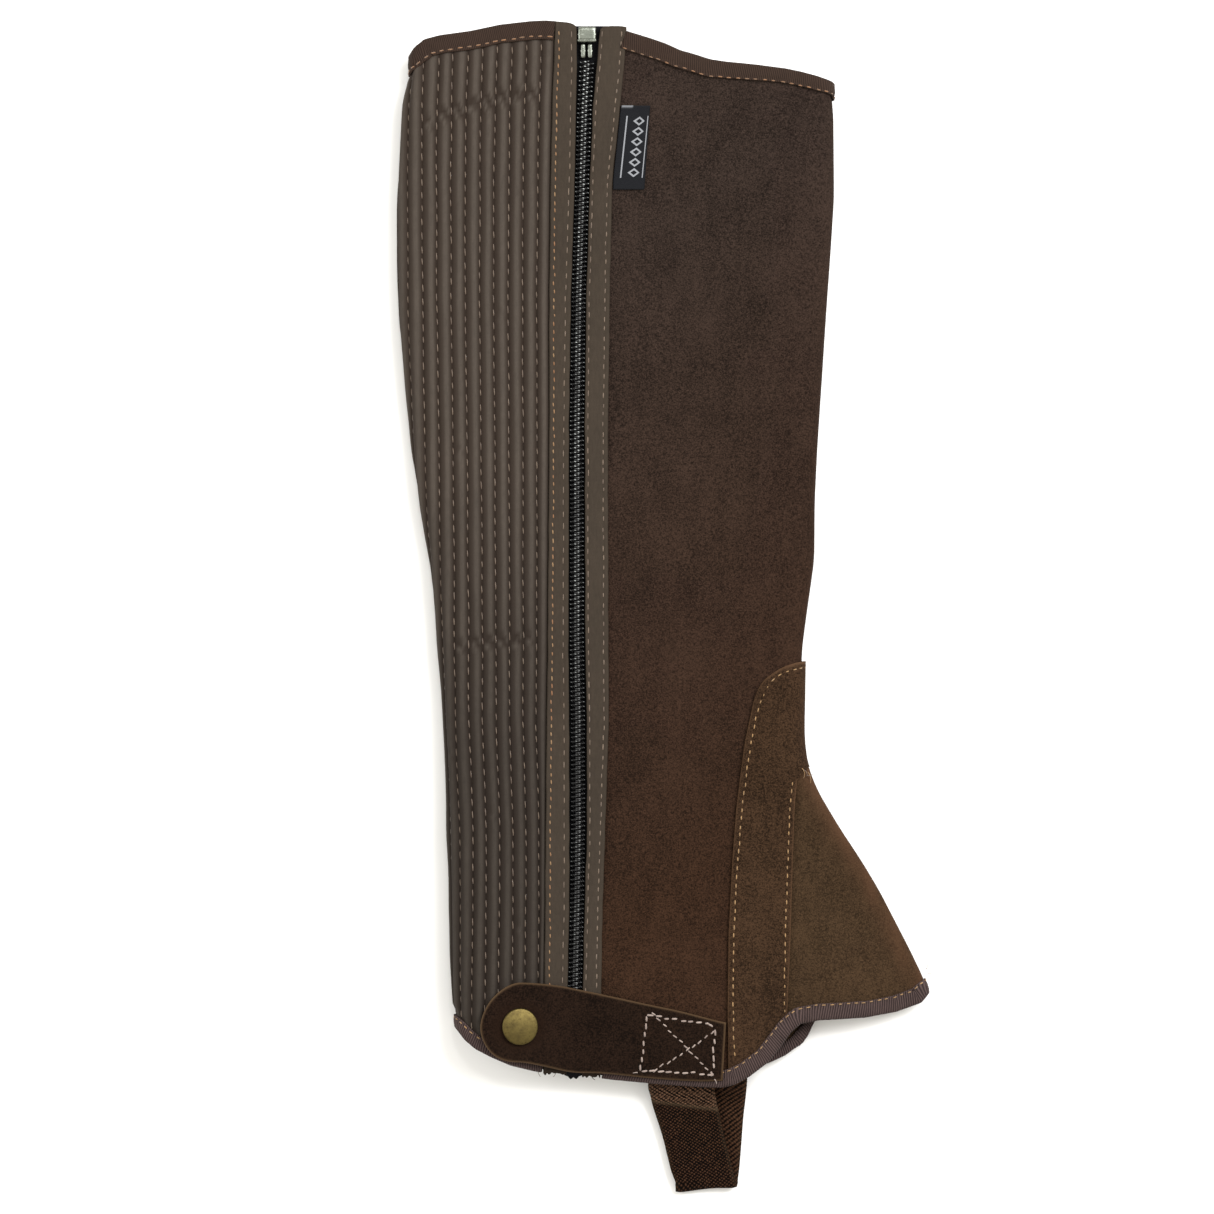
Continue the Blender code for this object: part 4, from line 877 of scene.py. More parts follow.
def seam_arc(side, height, which, shift=0.0):
    """Arc of the front opening's side: the front fold above the apex, a column of ANKLE below."""
    above = over(height, column(ANKLE, height, which)) + shift
    below = under(height, column(ANKLE, height, which)) - fold(height, 2) - shift
    front = fold(height, 0)
    held = np.maximum(above, front) if side == 0 else np.minimum(below, front)
    return np.where(height >= APEX, front, held)


def across_at(height, arc):
    """Distance across of a place on the wall."""
    return look(WALL_X, height, arc, ARCS)


def leg_net(side, left, which, tops, shares, above, below):
    """One half of a panel that parts below the apex: heights and arcs of a grid.

    Its columns run at shares of the way from the fold or seam (0) to the arc left (1); above and
    below are the numbers of rows on either side of the apex.
    """
    def line(h):
        """Arcs of all columns at heights h."""
        start = seam_arc(side, h, which)
        return start + (left(side, h) - start) * shares

    top, bottom = tops(line, len(shares)), bottom_height(line, len(shares))
    upper = top[None] + (APEX - top)[None] * np.linspace(0.0, 1.0, above)[:, None]
    lower = APEX + (bottom - APEX)[None] * np.linspace(0.0, 1.0, below)[1:, None]
    height = np.concatenate([upper, lower])
    return height, line(height)


def two_legs(name, left, which, tops, shares, rows, surface_of, thickness, made_of, hides):
    """Near and far halves of a panel, welded above the apex; surface_of gives rise, edge and the paler
    tint.
    """
    points, quads, uv, marks, shift = [], [], [], [], 0
    for side in (0, 1):
        height, arc = leg_net(side, left, which, tops, shares[side], *rows)
        out, edge, paler_tint = surface_of(height, arc, side)
        points.append(wall(height, arc, out).reshape(-1, 3))
        quads.append(net(*height.shape, flip=side == 1) + shift)
        uv.append(np.stack([arc, height], axis=-1).reshape(-1, 2) / 10.0)
        marks.append(np.stack([edge, paler_tint], axis=-1).reshape(-1, 2))
        shift += height.size
    points, quads, uv, marks = weld(*(np.concatenate(part) for part in (points, quads, uv, marks)))
    obj = add_piece(name, points, quads, made_of, uv,
                    {"edge": marks[:, 0], "paler_tint": marks[:, 1]}, hides)
    return thicken(obj, thickness)


def panel_shares(step_share, steps, count):
    """Shares from the fold to the far side: close together round the fold, then even."""
    return np.concatenate([np.linspace(0.0, step_share, steps)[:-1], np.linspace(step_share, 1.0, count)])


def suede_panel(depth):
    """Shin panel: from the zip round the front fold and back across the far side to the ribs.

    Rise = depth * (creases + ripples), fading out towards the bands, bindings and overlay.
    """
    def left(side, h):
        """Beside the zip's teeth (0), or at the seam with the ribs on the far side (1)."""
        if side == 0:
            return over(h, column(ZIP, h, 3) + GAP)
        return rib_arc(h, float(RIB_COUNT)) + SEAM_GAP - fold(h, 2)

    def surface_of(height, arc, side):
        """Rise, no pale edge, and a paler, warmer stripe down the front fold; the far side is plain."""
        x = across_at(height, arc)
        flat = np.zeros(x.shape)
        if side == 1:
            return flat, flat, flat
        # flat for 2 mm beside the band and for some 10 mm under the bindings and beside the overlay
        free = ease((x - column(ZIP, height, 4) - 2.0) / 8.0) * ease((232.0 - height - 0.12 * x) / 12.0)
        free *= ease((height - column(BOTTOM_NEAR, x) - 10.0) / 12.0)
        free *= np.where(height < -15.0, ease((column(ANKLE, height, 1) - x - 1.0) / 6.0), 1.0)
        wave = creased(SUEDE_CREASES, x, height) + 0.14 * ripple(x / 40.0, height / 55.0, 3)
        return depth * wave * free, flat, 0.28 * bell(arc - fold(height, 0), 5.0)

    return two_legs("suede_shin_panel", left, 3, top_height,
                    (panel_shares(0.14, 12, 58), panel_shares(0.09, 12, 50)), rows=(131, 61),
                    surface_of=surface_of, thickness=WALL, made_of="shin suede",
                    hides=["suede_panel"])


def ankle_overlay(depth):
    """Overlay on both sides of the apex: raw edges pale and pressed down by the seam beside them.

    gap is the distance to the nearest cut edge; rise = lift + troughs at gap 0 and 2.2 + creases.
    """
    def left(side, h):
        """The overlay's cut edge away from the instep, 2 mm further on at the far side."""
        if side == 0:
            return over(h, column(ANKLE, h, 1))
        return under(h, column(ANKLE, h, 1) + 2.0) - fold(h, 2)

    def top(line, count):
        """Heights where the columns meet OVERLAY_TOP, each step halving what is left."""
        height = np.full(count, -30.0)
        for _ in range(14):
            height = 0.5 * height + 0.5 * column(OVERLAY_TOP, across_at(height, line(height)))
        return height

    def surface_of(height, arc, side):
        """Rise, pale cut edges, and a paler, warmer stripe down the front fold."""
        x = across_at(height, arc)
        gap = np.minimum(x - column(ANKLE, height, 1), column(OVERLAY_TOP, x) - height)
        gap = np.where(height < -70.0, np.minimum(gap, column(ANKLE, height, 2) - x), gap)
        gap = np.maximum(gap, 0.0)
        edge = 0.7 * bell(gap, 0.32)
        if side == 1:
            return np.full(x.shape, OVERLAY_LIFT), edge, np.zeros(x.shape)
        seam = -0.28 * bell(gap - 2.2, 0.8) - 0.35 * bell(gap, 0.35)
        wave = creased(OVERLAY_CREASES, x, height) + 0.12 * ripple(x / 24.0, height / 40.0, 5)
        out = OVERLAY_LIFT + seam + depth * wave * ease((gap - 2.0) / 4.0)
        return out, edge, 0.3 * bell(arc - fold(height, 0), 4.0)

    shares = np.concatenate([[0.0, 0.012, 0.03, 0.05], np.linspace(0.08, 0.92, 34),
                             [0.95, 0.97, 0.988, 1.0]])
    return two_legs("suede_ankle_overlay", left, 2, top, (shares, shares), rows=(30, 71),
                    surface_of=surface_of, thickness=OVERLAY_THICK, made_of="overlay suede",
                    hides=["ankle_overlay"])


def instep_gusset(depth):
    """Wedge folded over the instep: near seam, front fold, far seam, from its point to the hem.

    Rise = depth * (creases + ripples) on the near side, and a small puff at the point.
    """
    parts = np.linspace(0.0, 1.0, 70) ** 1.3
    shares = np.concatenate([np.linspace(0.0, 0.72, 34)[:-1], np.linspace(0.72, 1.0, 16)])
    heights, arcs = [], []
    for side, used in ((0, shares), (1, shares[::-1][1:])):
        def line(h, side=side, used=used):
            """Arcs of one side's columns, from its seam to the front fold."""
            start = seam_arc(side, h, 3, -GAP)
            return start + (fold(h, 0) - start) * used

        bottom = bottom_height(line, len(used), EDGE_INSET + 0.2)
        heights.append(APEX - 0.3 + (bottom - APEX + 0.3)[None] * parts[:, None])
        arcs.append(line(heights[-1]))
    height, arc = np.concatenate(heights, axis=1), np.concatenate(arcs, axis=1)
    x, from_fold = across_at(height, arc), arc - fold(height, 0)
    free = ease(from_fold / 3.0) * ease((x - column(ANKLE, height, 2) - 1.0) / 5.0) * ease(
        (height - column(BOTTOM_NEAR, x) - 6.0) / 8.0)
    out = depth * (creased(GUSSET_CREASES, x, height) + 0.15 * ripple(x / 26.0, height / 34.0, 9)) * free
    out = out + 1.3 * bell(APEX - height, 7.0) * bell(from_fold, 4.0)
    paler_tint = (0.6 + 0.35 * ripple(height / 30.0, arc / 9.0, 19)) * bell(from_fold, 8.0)
    obj = add_piece("suede_instep_gusset", wall(height, arc, out), net(*height.shape, flip=True),
                    "gusset suede", np.stack([arc, height], axis=-1) / 10.0,
                    {"edge": np.zeros(x.shape), "paler_tint": paler_tint}, ["instep_gusset"])
    return thicken(obj, GUSSET_WALL)


def rib_wander(phase, height):
    """How far the ribs' lines wander sideways, in millimetres, and not under the zip's band."""
    return 0.16 * ripple(phase / 2.3, height / 46.0, 17) * ease(phase + 0.8)


def rib_shape(phase, height):
    """Rise of the ribs, their grooves and their painted shading.

    A rib is a sine's half wave to the power 0.7 between stitch lines, with a narrow groove along
    each line. A pinch is a dent between two low humps that leans across its rib. The shading is
    painted shade: dark but for a painted highlight, a light ridge left of the rib's middle, which a
    pinch bends, and darker in the grooves and at the pinches.
    """
    part = phase - np.floor(phase)
    near = np.minimum(part, 1.0 - part)
    rise = np.sin(np.pi * part) ** 0.7 * (1.0 + 0.1 * ripple(phase / 1.7, height / 30.0, 21))
    bend = pinch = 0.0
    for centre, at, depth, lean in PUCKERS:
        inside = depth * bell(phase - centre, 0.42, 6)
        off = height - at - lean * (phase - centre)
        bend = bend + 0.62 * inside * (off / 1.9) * bell(off, 1.9)
        humps = bell(off - 3.2, 1.6) + bell(off + 3.2, 1.6)
        rise = rise + inside * (0.25 * humps - bell(off, 1.1))
        pinch = pinch + inside * min(1.0 / depth, 1.0) * bell(off, 0.8)
    # painted shade and highlight for the colour: dark, with a light ridge left of each rib's middle,
    # darker in the grooves and at the pinches
    shade_of = 0.95 - 0.95 * bell(part + bend - 0.41, 0.2) + 0.35 * bell(near, 0.06)
    return rise, bell(near, 0.085), np.clip(shade_of + 0.45 * pinch, 0.0, 1.0)


def ribbed_panel(rib_height):
    """Stitched ribs from the zip round the calf; flat under the band, the bindings and on the floor."""
    flat = np.array([0.0, 0.25, 0.5, 0.8])
    fine = np.array([0.0, 0.05, 0.11, 0.2, 0.34, 0.5, 0.66, 0.8, 0.89, 0.95])
    coarse = np.array([0.0, 0.25, 0.5, 0.75])
    phases = np.concatenate([(np.arange(-1, 12)[:, None] + fine).ravel(),
                             (np.arange(12, RIB_COUNT)[:, None] + coarse).ravel(), [float(RIB_COUNT)]])
    under_band, count = len(flat), len(flat) + len(phases)

    def line(h):
        """Arcs of the flat columns under the band and of the ribs' columns."""
        h = np.broadcast_to(h, np.broadcast(h, np.zeros(count)).shape)
        a, b = h[..., :under_band], h[..., under_band:]
        inner, outer = column(ZIP, a, 2) - GAP, column(ZIP, a, 1)
        return np.concatenate([over(a, inner + (outer - inner) * flat), rib_arc(b, phases)], axis=-1)

    top, bottom = top_height(line, count), bottom_height(line, count)
    height = top[None] + (bottom - top)[None] * np.linspace(0.0, 1.0, 188)[:, None]
    arc = line(height)
    phase = np.broadcast_to(np.concatenate([np.full(under_band, -1.0), phases]), arc.shape)
    arc = arc + rib_wander(phase, height)
    rise, groove, shade_of = rib_shape(phase, height)
    inside = np.minimum(top[None] - height, height - bottom[None])
    facing = ease(normal_at(height, arc)[..., 2] * 2.0 + 1.0)
    rise = np.where(phase <= -1.0, 0.0, rise) * ease((inside - 5.6) / 2.6) * facing
    out = rib_height * rise - 0.3 * groove * facing * ease((inside - 4.0) / 2.0)
    # the mark 'groove' holds painted shade: the ribs' painted shading, and a flat 0.4 where the cloth
    # lies under the band
    obj = add_piece("ribbed_calf_panel", wall(height, arc, out), net(*arc.shape), "ribbed cloth",
                    np.stack([arc, height], axis=-1) / 10.0,
                    {"groove": np.where(phase < -0.99, 0.4, shade_of)}, ["ribbed_panel"])
    return thicken(obj, WALL)


def swept(rings):
    """Closed body through rings (n, k, 3) whose first half is the face that shows, end strips too."""
    n, k = rings.shape[:2]
    i = np.arange(k // 2 - 1)
    ends = np.stack([i, i + 1, k - 2 - i, k - 1 - i], axis=1)
    quads = np.concatenate([net(n, k, closed=True), ends[:, ::-1], ends + (n - 1) * k])
    points = rings.reshape(-1, 3)
    a, b, c, d = (points[quads[:, j]] for j in range(4))
    volume = (np.einsum("ij,ij->i", a, np.cross(b, c)) + np.einsum("ij,ij->i", a, np.cross(c, d))).sum()
    return points, quads if volume > 0.0 else quads[:, ::-1]


def running(rings):
    """A map for a swept body: along its length and round its section, in centimetres."""
    middle = rings.mean(axis=1)
    run, _ = along_path(middle, 2)
    step = np.linalg.norm(np.diff(rings, axis=1, append=rings[:, :1]), axis=-1).mean(axis=0)
    round_of = np.concatenate([[0.0], np.cumsum(step)[:-1]])
    u, v = np.meshgrid(run, round_of, indexing="ij")
    return np.stack([u, v], axis=-1) / 10.0


def bound_edge(name, arcs, sign, width, lift, hides):
    """Tape folded over an edge (sign +1 is the top one): pressed outer leaf, round fold, inner leaf.

    A section is points by distance in from the edge and distance out: along the leaf's face, round
    the edge in half an ellipse, along the inner leaf, and back on the face of the cloth it holds.
    """
    heights = (top_height if sign > 0 else bottom_height)(lambda h: arcs + 0.0 * h, len(arcs), EDGE_LIFT)
    d_arc, d_height = np.gradient(arcs), np.gradient(heights)
    inward = np.stack([d_arc, -d_height], axis=-1) / np.hypot(d_arc, d_height)[:, None]
    inward *= np.where((d_arc * sign)[:, None] > 0.0, -1.0, 1.0)
    run, _ = along_path(wall(heights, arcs, 0.0), 2)
    uneven = 0.16 * ripple(run / 14.0, 0.0 * run, 31)[:, None]
    near, far, inner_leaf = (GAP + lift)[:, None], -WALL - GAP, 0.6
    share = np.array([1.0, 0.985, 0.94, 0.86, 0.78, 0.68, 0.5, 0.3, 0.12])
    rise = np.array([0.35, 0.8, 1.0, 0.86, 0.8, 0.98, 1.1, 1.12, 1.06])
    leaf = width[:, None] * share + uneven * share
    turn = np.linspace(0.15, math.pi - 0.15, 7)
    middle = 0.5 * (near + far - inner_leaf + BINDING_THICK)
    reach = 0.5 * (near - far + inner_leaf + BINDING_THICK)
    inner = np.array([0.0, 0.5, 1.0]) * (width[:, None] - 1.0)
    face_in = side_by_side(leaf, -GAP - BINDING_THICK * np.sin(turn), inner)
    face_out = side_by_side(near + BINDING_THICK * rise, middle + reach * np.cos(turn),
                            np.full(3, far - inner_leaf))
    back_in = side_by_side(leaf, np.full(7, -GAP), inner)
    back_out = side_by_side(near + 0.0 * leaf, near + (far - near) * np.linspace(0.0, 1.0, 7),
                            np.full(3, far))
    into = there_and_under(face_in, back_in)
    rings = wall(heights[:, None] + inward[:, 0:1] * into, arcs[:, None] + inward[:, 1:2] * into,
                 there_and_under(face_out, back_out))
    points, quads = swept(rings)
    uv = running(rings)
    uv[..., 0] = run[:, None] / 10.0
    edge = np.zeros(rings.shape[:2])
    edge[:, :2] = 0.5
    tape = "top binding tape" if sign > 0 else "lower binding tape"
    add_piece(name, points, quads, tape, uv, {"edge": edge}, hides)
    return heights, arcs, inward, GAP + lift + BINDING_THICK * 0.8


def even(a, b, step=1.3):
    """Even places from a to b, about a step apart."""
    return np.linspace(a, b, max(int(abs(b - a) / step), 3))


def seam_on(edge, inset, pick=slice(None), **thread):
    """Stitches along the picked part of a bound edge, inset millimetres in from it."""
    heights, arcs, inward, top = edge
    return dashes(heights[pick] + inward[pick, 0] * inset, arcs[pick] + inward[pick, 1] * inset,
                  top[pick], **thread)


def top_bindings():
    """Two lengths of tape over the top edge, parted at the zip, and their seams."""
    back, round_all = float(fold(220.0, 1)), float(fold(215.0, 2))
    seam = float(rib_arc(np.array([212.0]), float(RIB_COUNT))[0])
    arcs = even(float(over(238.0, -44.45)), seam - 0.6)
    eased = 0.42 * ease((back + 9.0 - arcs) / 6.0)
    one = bound_edge("top_binding_calf", arcs, 1, np.full(len(arcs), 6.6), eased, ["top_binding_back"])
    front = float(fold(214.0, 0))
    arcs = even(float(over(236.0, -15.5)), seam + 1.2 - round_all)
    width = 4.6 + 1.8 * ease((arcs - front) / 80.0)
    eased = 0.32 * ease((arcs - front + 6.0) / 5.0)
    two = bound_edge("top_binding_shin", arcs, 1, width, eased, ["top_binding_front"])
    seams = [seam_on(one, 5.4, pitch=3.7, length=2.5, radius=0.3, seed=41, sway=0.12),
             seam_on(two, width - 0.42, pitch=3.7, length=2.5, radius=0.28, seed=42, sway=0.1)]
    return add_thread("top_binding_stitches", seams, "tan thread")


def bottom_bindings():
    """Two lengths of tape over the bottom edge, raised where they cross the overlay, and their seams."""
    seam = float(rib_arc(np.array([-186.0]), float(RIB_COUNT))[0])
    arcs = even(float(over(-190.0, -49.9)), seam - 0.6)
    one = bound_edge("bottom_binding_calf", arcs, -1, np.full(len(arcs), 4.6), 0.0 * arcs,
                     ["bottom_binding_back"])
    front, round_all = float(fold(-160.0, 0)), float(fold(-180.0, 2))
    arcs = even(float(over(-193.0, -25.2)), seam + 1.2 - round_all, 1.1)
    heights = bottom_height(lambda h: arcs + 0.0 * h, len(arcs), EDGE_LIFT)
    x = across_at(heights, arcs)
    raised = ease((x - column(ANKLE, heights, 1) + 1.3) / 1.0) * ease(
        (column(ANKLE, heights, 2) + 6.6 - x) / 2.0)
    width = 4.6 + 1.2 * ease((x - 8.0) / 20.0) * (arcs > front)
    two = bound_edge("bottom_binding_instep", arcs, -1, width, OVERLAY_LIFT * raised,
                     ["bottom_binding_front"])
    clear = two[1] < float(over(-192.0, 22.0))
    seams = [seam_on(one, 3.7, pitch=3.4, length=2.2, radius=0.26, seed=43, sway=0.08),
             seam_on(two, (width - 0.7)[clear], clear, pitch=3.3, length=2.1, radius=0.26, seed=44,
                     sway=0.08)]
    return add_thread("bottom_binding_stitches", seams, "gold thread")


def strip_rings(heights, left, right, low, high, count, crown, round_by, shape=None):
    """Rings of a flat strip on the upper side between two edges given as distances across.

    Its columns lie closer at the edges; a rim rounded by round_by, a crown and shape lift its top.
    """
    share = 0.5 - 0.5 * np.cos(np.linspace(0.0, math.pi, count))
    share = 0.5 * share + 0.5 * np.linspace(0.0, 1.0, count)
    across = left[:, None] + (right - left)[:, None] * share
    off = np.minimum(across - left[:, None], right[:, None] - across)
    rim = np.sqrt(np.clip(1.0 - (1.0 - np.clip(off / round_by, 0.0, 1.0)) ** 2, 0.0, 1.0))
    top = low + (high - low) * (0.35 + 0.65 * rim) + crown * np.sin(np.pi * share)
    if shape is not None:
        top = top + shape(heights[:, None], across)
    x = there_and_under(across, across)
    out = there_and_under(top, np.full(top.shape, low))
    return wall(heights[:, None], over(np.broadcast_to(heights[:, None], x.shape), x), out)


def band(name, edges, lines, hides, seed, corners):
    """A woven band over a panel's edge, pressed down along its two stitch lines.

    edges are the ZIP columns of its sides and the heights of its ends; lines are each stitch
    line's side and inset. Its top leans by the first of corners and is rounded by the other two.
    """
    heights = np.linspace(edges[2], edges[3], 230)
    left, right = column(ZIP, heights, edges[0]), column(ZIP, heights, edges[1])
    left = left + 0.12 * ripple(heights / 21.0, 0.0 * heights, seed)
    right = right + 0.1 * ripple(heights / 17.0, 0.0 * heights, seed + 1)

    def pressed(h, x):
        """Slow ripples, less a trough along each stitch line."""
        total = 0.07 * ripple(x / 9.0, h / 30.0, seed + 2)
        for side, inset in lines:
            away = (x - left[:, None]) if side < 0 else (right[:, None] - x)
            total = total - 0.26 * bell(away - inset, 0.45)
        return total

    rings = strip_rings(heights, left, right, GAP, GAP + BAND_THICK, count=23, crown=0.1, round_by=0.5,
                        shape=pressed)
    share = there_and_back(23)
    rings[-1, :, 1] += 0.6 * ripple(5.5 * share, 0.0 * share, seed + 5)
    corner = corners[0] * (1.0 - share) - corners[1] * (1.0 - share) ** 6 - corners[2] * share ** 5
    for row, part in enumerate((1.0, 0.55, 0.2)):
        rings[row, :, 1] += part * corner
    points, quads = swept(rings)
    edge = np.zeros(rings.shape[:2])
    edge[:, :2] = edge[:, 21:23] = 0.4
    # painted shade: much darker over the last 4.5 mm of the foot, under and just below the tab's edge; a
    # little darker along the side edges
    dark = 0.25 * edge + 3.0 * ease((edges[3] + 4.5 - heights) / 3.0)[:, None]
    return add_piece(name, points, quads, "band cloth", running(rings)[..., ::-1],
                     {"groove": dark}, hides)


def zip_bands():
    """The two bands beside the teeth and their four rows of stitches."""
    band("zip_band_calf", (1, 2, 239.0, -190.6), ((-1, 1.9), (1, 2.2)), ["zip_band_left"],
         seed=51, corners=(0.7, 0.0, 2.0))
    band("zip_band_shin", (3, 4, 237.8, -192.0), ((-1, 1.2), (1, 2.0)), ["zip_band_right"],
         seed=61, corners=(0.0, 1.5, 0.6))
    high = GAP + BAND_THICK - 0.22
    heights = np.linspace(236.5, -188.0, 300)

    def seam(edge, inset, **thread):
        """Stitches inset millimetres from one of the bands' edges."""
        return dashes(heights, over(heights, column(ZIP, heights, edge) + inset), high, **thread)

    orange = [seam(1, 1.9, pitch=3.3, length=2.3, radius=0.3, seed=71, sway=0.14, lean=0.25)]
    beige = [seam(2, -2.2, pitch=4.9, length=3.3, radius=0.24, seed=72, sway=0.08),
             seam(3, 1.2, pitch=4.6, length=3.0, radius=0.24, seed=73, sway=0.08),
             seam(4, -2.0, pitch=3.9, length=2.7, radius=0.28, seed=74, sway=0.1)]
    add_thread("band_edge_stitches", orange, "orange thread")
    return add_thread("band_stitches", beige, "beige thread")


def rib_stitches():
    """Long stitches down every groove of the ribs."""
    parts = []
    for phase in range(RIB_COUNT):
        top = float(top_height(lambda h: rib_arc(h, float(phase)))[0]) - 6.6
        bottom = float(bottom_height(lambda h: rib_arc(h, float(phase)))[0]) + 4.8
        heights = np.linspace(top, bottom, 260)
        arc = rib_arc(heights, float(phase)) + rib_wander(np.full(260, float(phase)), heights)
        parts.append(dashes(heights, arc, -0.12, pitch=5.35, length=3.5, radius=0.22, seed=80 + phase,
                            sway=0.06, lean=0.35, rise=0.35))
    return add_thread("rib_stitches", parts, "beige thread")


def zip_middle(height):
    """Distance across of the zip's middle."""
    return 0.5 * (column(ZIP, height, 2) + column(ZIP, height, 3))


def zip_tape():
    """Dark tape under the teeth, with ragged cut ends."""
    heights = np.linspace(237.8, -190.6, 150)
    middle = zip_middle(heights)
    low = -WALL - GAP - TAPE_THICK
    rings = strip_rings(heights, middle - TAPE_HALF_WIDTH, middle + TAPE_HALF_WIDTH, low,
                        low + TAPE_THICK, count=25, crown=0.0, round_by=0.1)
    share = np.abs(2.0 * there_and_back(25) - 1.0)
    rings[-1, :, 1] += 0.6 * ripple(share * 5.0, 0.0 * share, 91) - 2.2 * bell(share, 0.3, 4) + 0.6
    points, quads = swept(rings)
    return add_piece("zip_tape_woven", points, quads, "zip tape weave",
                     running(rings), {"edge": np.zeros(rings.shape[:2])}, ["zip_tape"])


# heights of the coil's first and last turn
COIL_TOP, COIL_FOOT = 223.2, -166.0
# across from the middle, along the leg, out and thickness of one coil turn, left side
COIL_TURN = (
    (-2.78, -0.34, -1.3, 0.3), (-2.86, -0.28, -0.55, 0.36), (-2.45, -0.2, 0.02, 0.4),
    (-1.6, -0.08, 0.16, 0.4), (-0.7, 0.04, 0.2, 0.42), (0.25, 0.14, 0.24, 0.52),
    (0.78, 0.2, 0.0, 0.58), (0.92, 0.22, -0.7, 0.5),
)


def on_zip(height, across, out):
    """Points by height, distance from the zip's middle and distance out."""
    return wall(height, over(height, zip_middle(height) + across), out)


def zip_teeth(pitch):
    """Coil turns from both sides, meshing half a pitch apart, with chain stitches over them."""
    turn = smooth_line(np.array(COIL_TURN), 15)
    parts = []
    for side in (0, 1):
        at = np.arange(COIL_TOP - 0.5 * pitch * side, COIL_FOOT, -pitch)
        sign = 1.0 if side == 0 else -1.0
        spine = on_zip(at[:, None] + sign * turn[None, :, 1], sign * turn[None, :, 0], turn[None, :, 2])
        way = np.gradient(spine, axis=1)
        up = unit(np.cross(np.array([0.0, 1.0, 0.0]), way))
        points, quads = tubes(spine, unit(np.cross(way, up)), up, turn[None, :, 3], sides=8)
        rise = points.reshape(len(at), 15, 8, 3)[..., 2] - spine[..., 2][..., None]
        # painted glints: pale colour on the crest, the top quarter of the thread, at two of the 15
        # stations, in runs of bright and dull spots that grow dimmer down the leg
        crest = ease((rise / turn[None, :, 3, None] - 0.75) / 0.25)
        spots = np.zeros((len(at), 15, 1))
        draw = np.random.default_rng(side + 7)
        for station in (4, 8):
            runs = np.interp(at, np.linspace(-170.0, 226.0, 45), draw.uniform(0.15, 1.0, 45))
            bright = np.interp(at, (-50.0, 10.0, 170.0), (0.47, 0.84, 1.05))
            spots[:, station, 0] = runs * bright * draw.uniform(0.7, 1.0, len(at))
        parts.append((points, quads, (crest * spots).ravel()))
    points, quads, painted_glint = joined(parts)
    add_piece("zip_coil_teeth", points, quads, "coil nylon",
              marks={"painted_glint": painted_glint}, hides=["zip_coil"])
    heights = np.linspace(COIL_TOP + 0.2, COIL_FOOT - 0.2, 400)
    chains = []
    for across, seed in ((-2.05, 101), (-1.2, 102), (1.25, 103), (2.1, 104)):
        arcs = over(heights, zip_middle(heights) + across)
        chains.append(dashes(heights, arcs, 0.52, pitch, length=1.55 * pitch / 1.88, radius=0.2,
                             seed=seed, sway=0.02, lean=0.25, rise=0.5))
    return add_thread("zip_chain_stitches", chains, "black thread")


def place(height, across, out):
    """The wall's point and turn at a place on the upper side: x across, y up the leg, z out."""
    arc = over(np.array([height]), np.array([across]))
    at = wall(np.array([height]), arc, out)[0]
    up = Vector(wall(np.array([height]), arc, out + 1.0)[0] - at).normalized()
    leg = Vector((0.0, 1.0, 0.0))
    leg = (leg - up * leg.dot(up)).normalized()
    turn = Matrix((leg.cross(up), leg, up)).transposed()
    return at, np.array(turn)


def moulded(at, size, low, levels, power):
    """A rounded block: superellipse sections shrinking by each level's inset; levels are (up, inset)."""
    across, height = at
    centre, turn = place(height, across, low)
    angle = math.pi * (1.0 - there_and_back(20)) * np.repeat((1.0, -1.0), 20)
    angle[[0, 19, 20, 39]] += (-0.04, 0.04, 0.04, -0.04)
    c, s = np.cos(angle), np.sin(angle)
    scale = (np.abs(c) ** power + np.abs(s) ** power) ** (-1.0 / power)
    rings = []
    for up, inset in levels:
        x = c * scale * (size[0] / 2.0 - inset)
        y = s * scale * (size[1] / 2.0 - inset)
        rings.append(np.stack([x, y, np.full(40, up)], axis=-1) @ turn.T + centre)
    return swept(np.array(rings))


def zip_box_and_pins():
    """Box and two pins of the separating end, plated metal."""
    low = -WALL + 0.15
    box = ((0.0, 0.45), (0.4, 0.05), (0.8, 0.0), (2.2, 0.0), (2.7, 0.2), (2.95, 0.6), (3.0, 1.3),
           (3.0, 2.4))
    lip = ((0.0, 0.0), (2.6, 0.0), (2.95, 0.15), (3.15, 0.4), (3.2, 0.6))
    parts = [moulded((-31.4, 234.3), (7.6, 6.4), low, box, power=7.0),
             moulded((-31.4, 231.9), (7.8, 1.5), low + 0.3, lip, power=6.0)]
    pin = ((0.0, 0.2), (0.3, 0.0), (1.5, 0.0), (1.9, 0.2), (2.15, 0.55), (2.2, 0.9))
    for x in (-33.0, -30.1):
        parts.append(moulded((x, 227.65), (2.2, 6.0), low, pin, power=5.0))
    points, quads, _ = joined([(p, q, np.zeros(len(p))) for p, q in parts])
    return add_piece("zip_box_and_pins", points, quads, "zip metal",
                     hides=["zip_box", "zip_pin_left", "zip_pin_right"])


# how far the tab lies above its table's heights; across: the middle of its round end, that end's
# reach and the cut end; the cap's place across and up
TAB_UP = 0.9
TAB_TURN, TAB_REACH, TAB_CUT = -59.5, 14.8, 25.4
CAP_AT = (-60.0, -171.0)


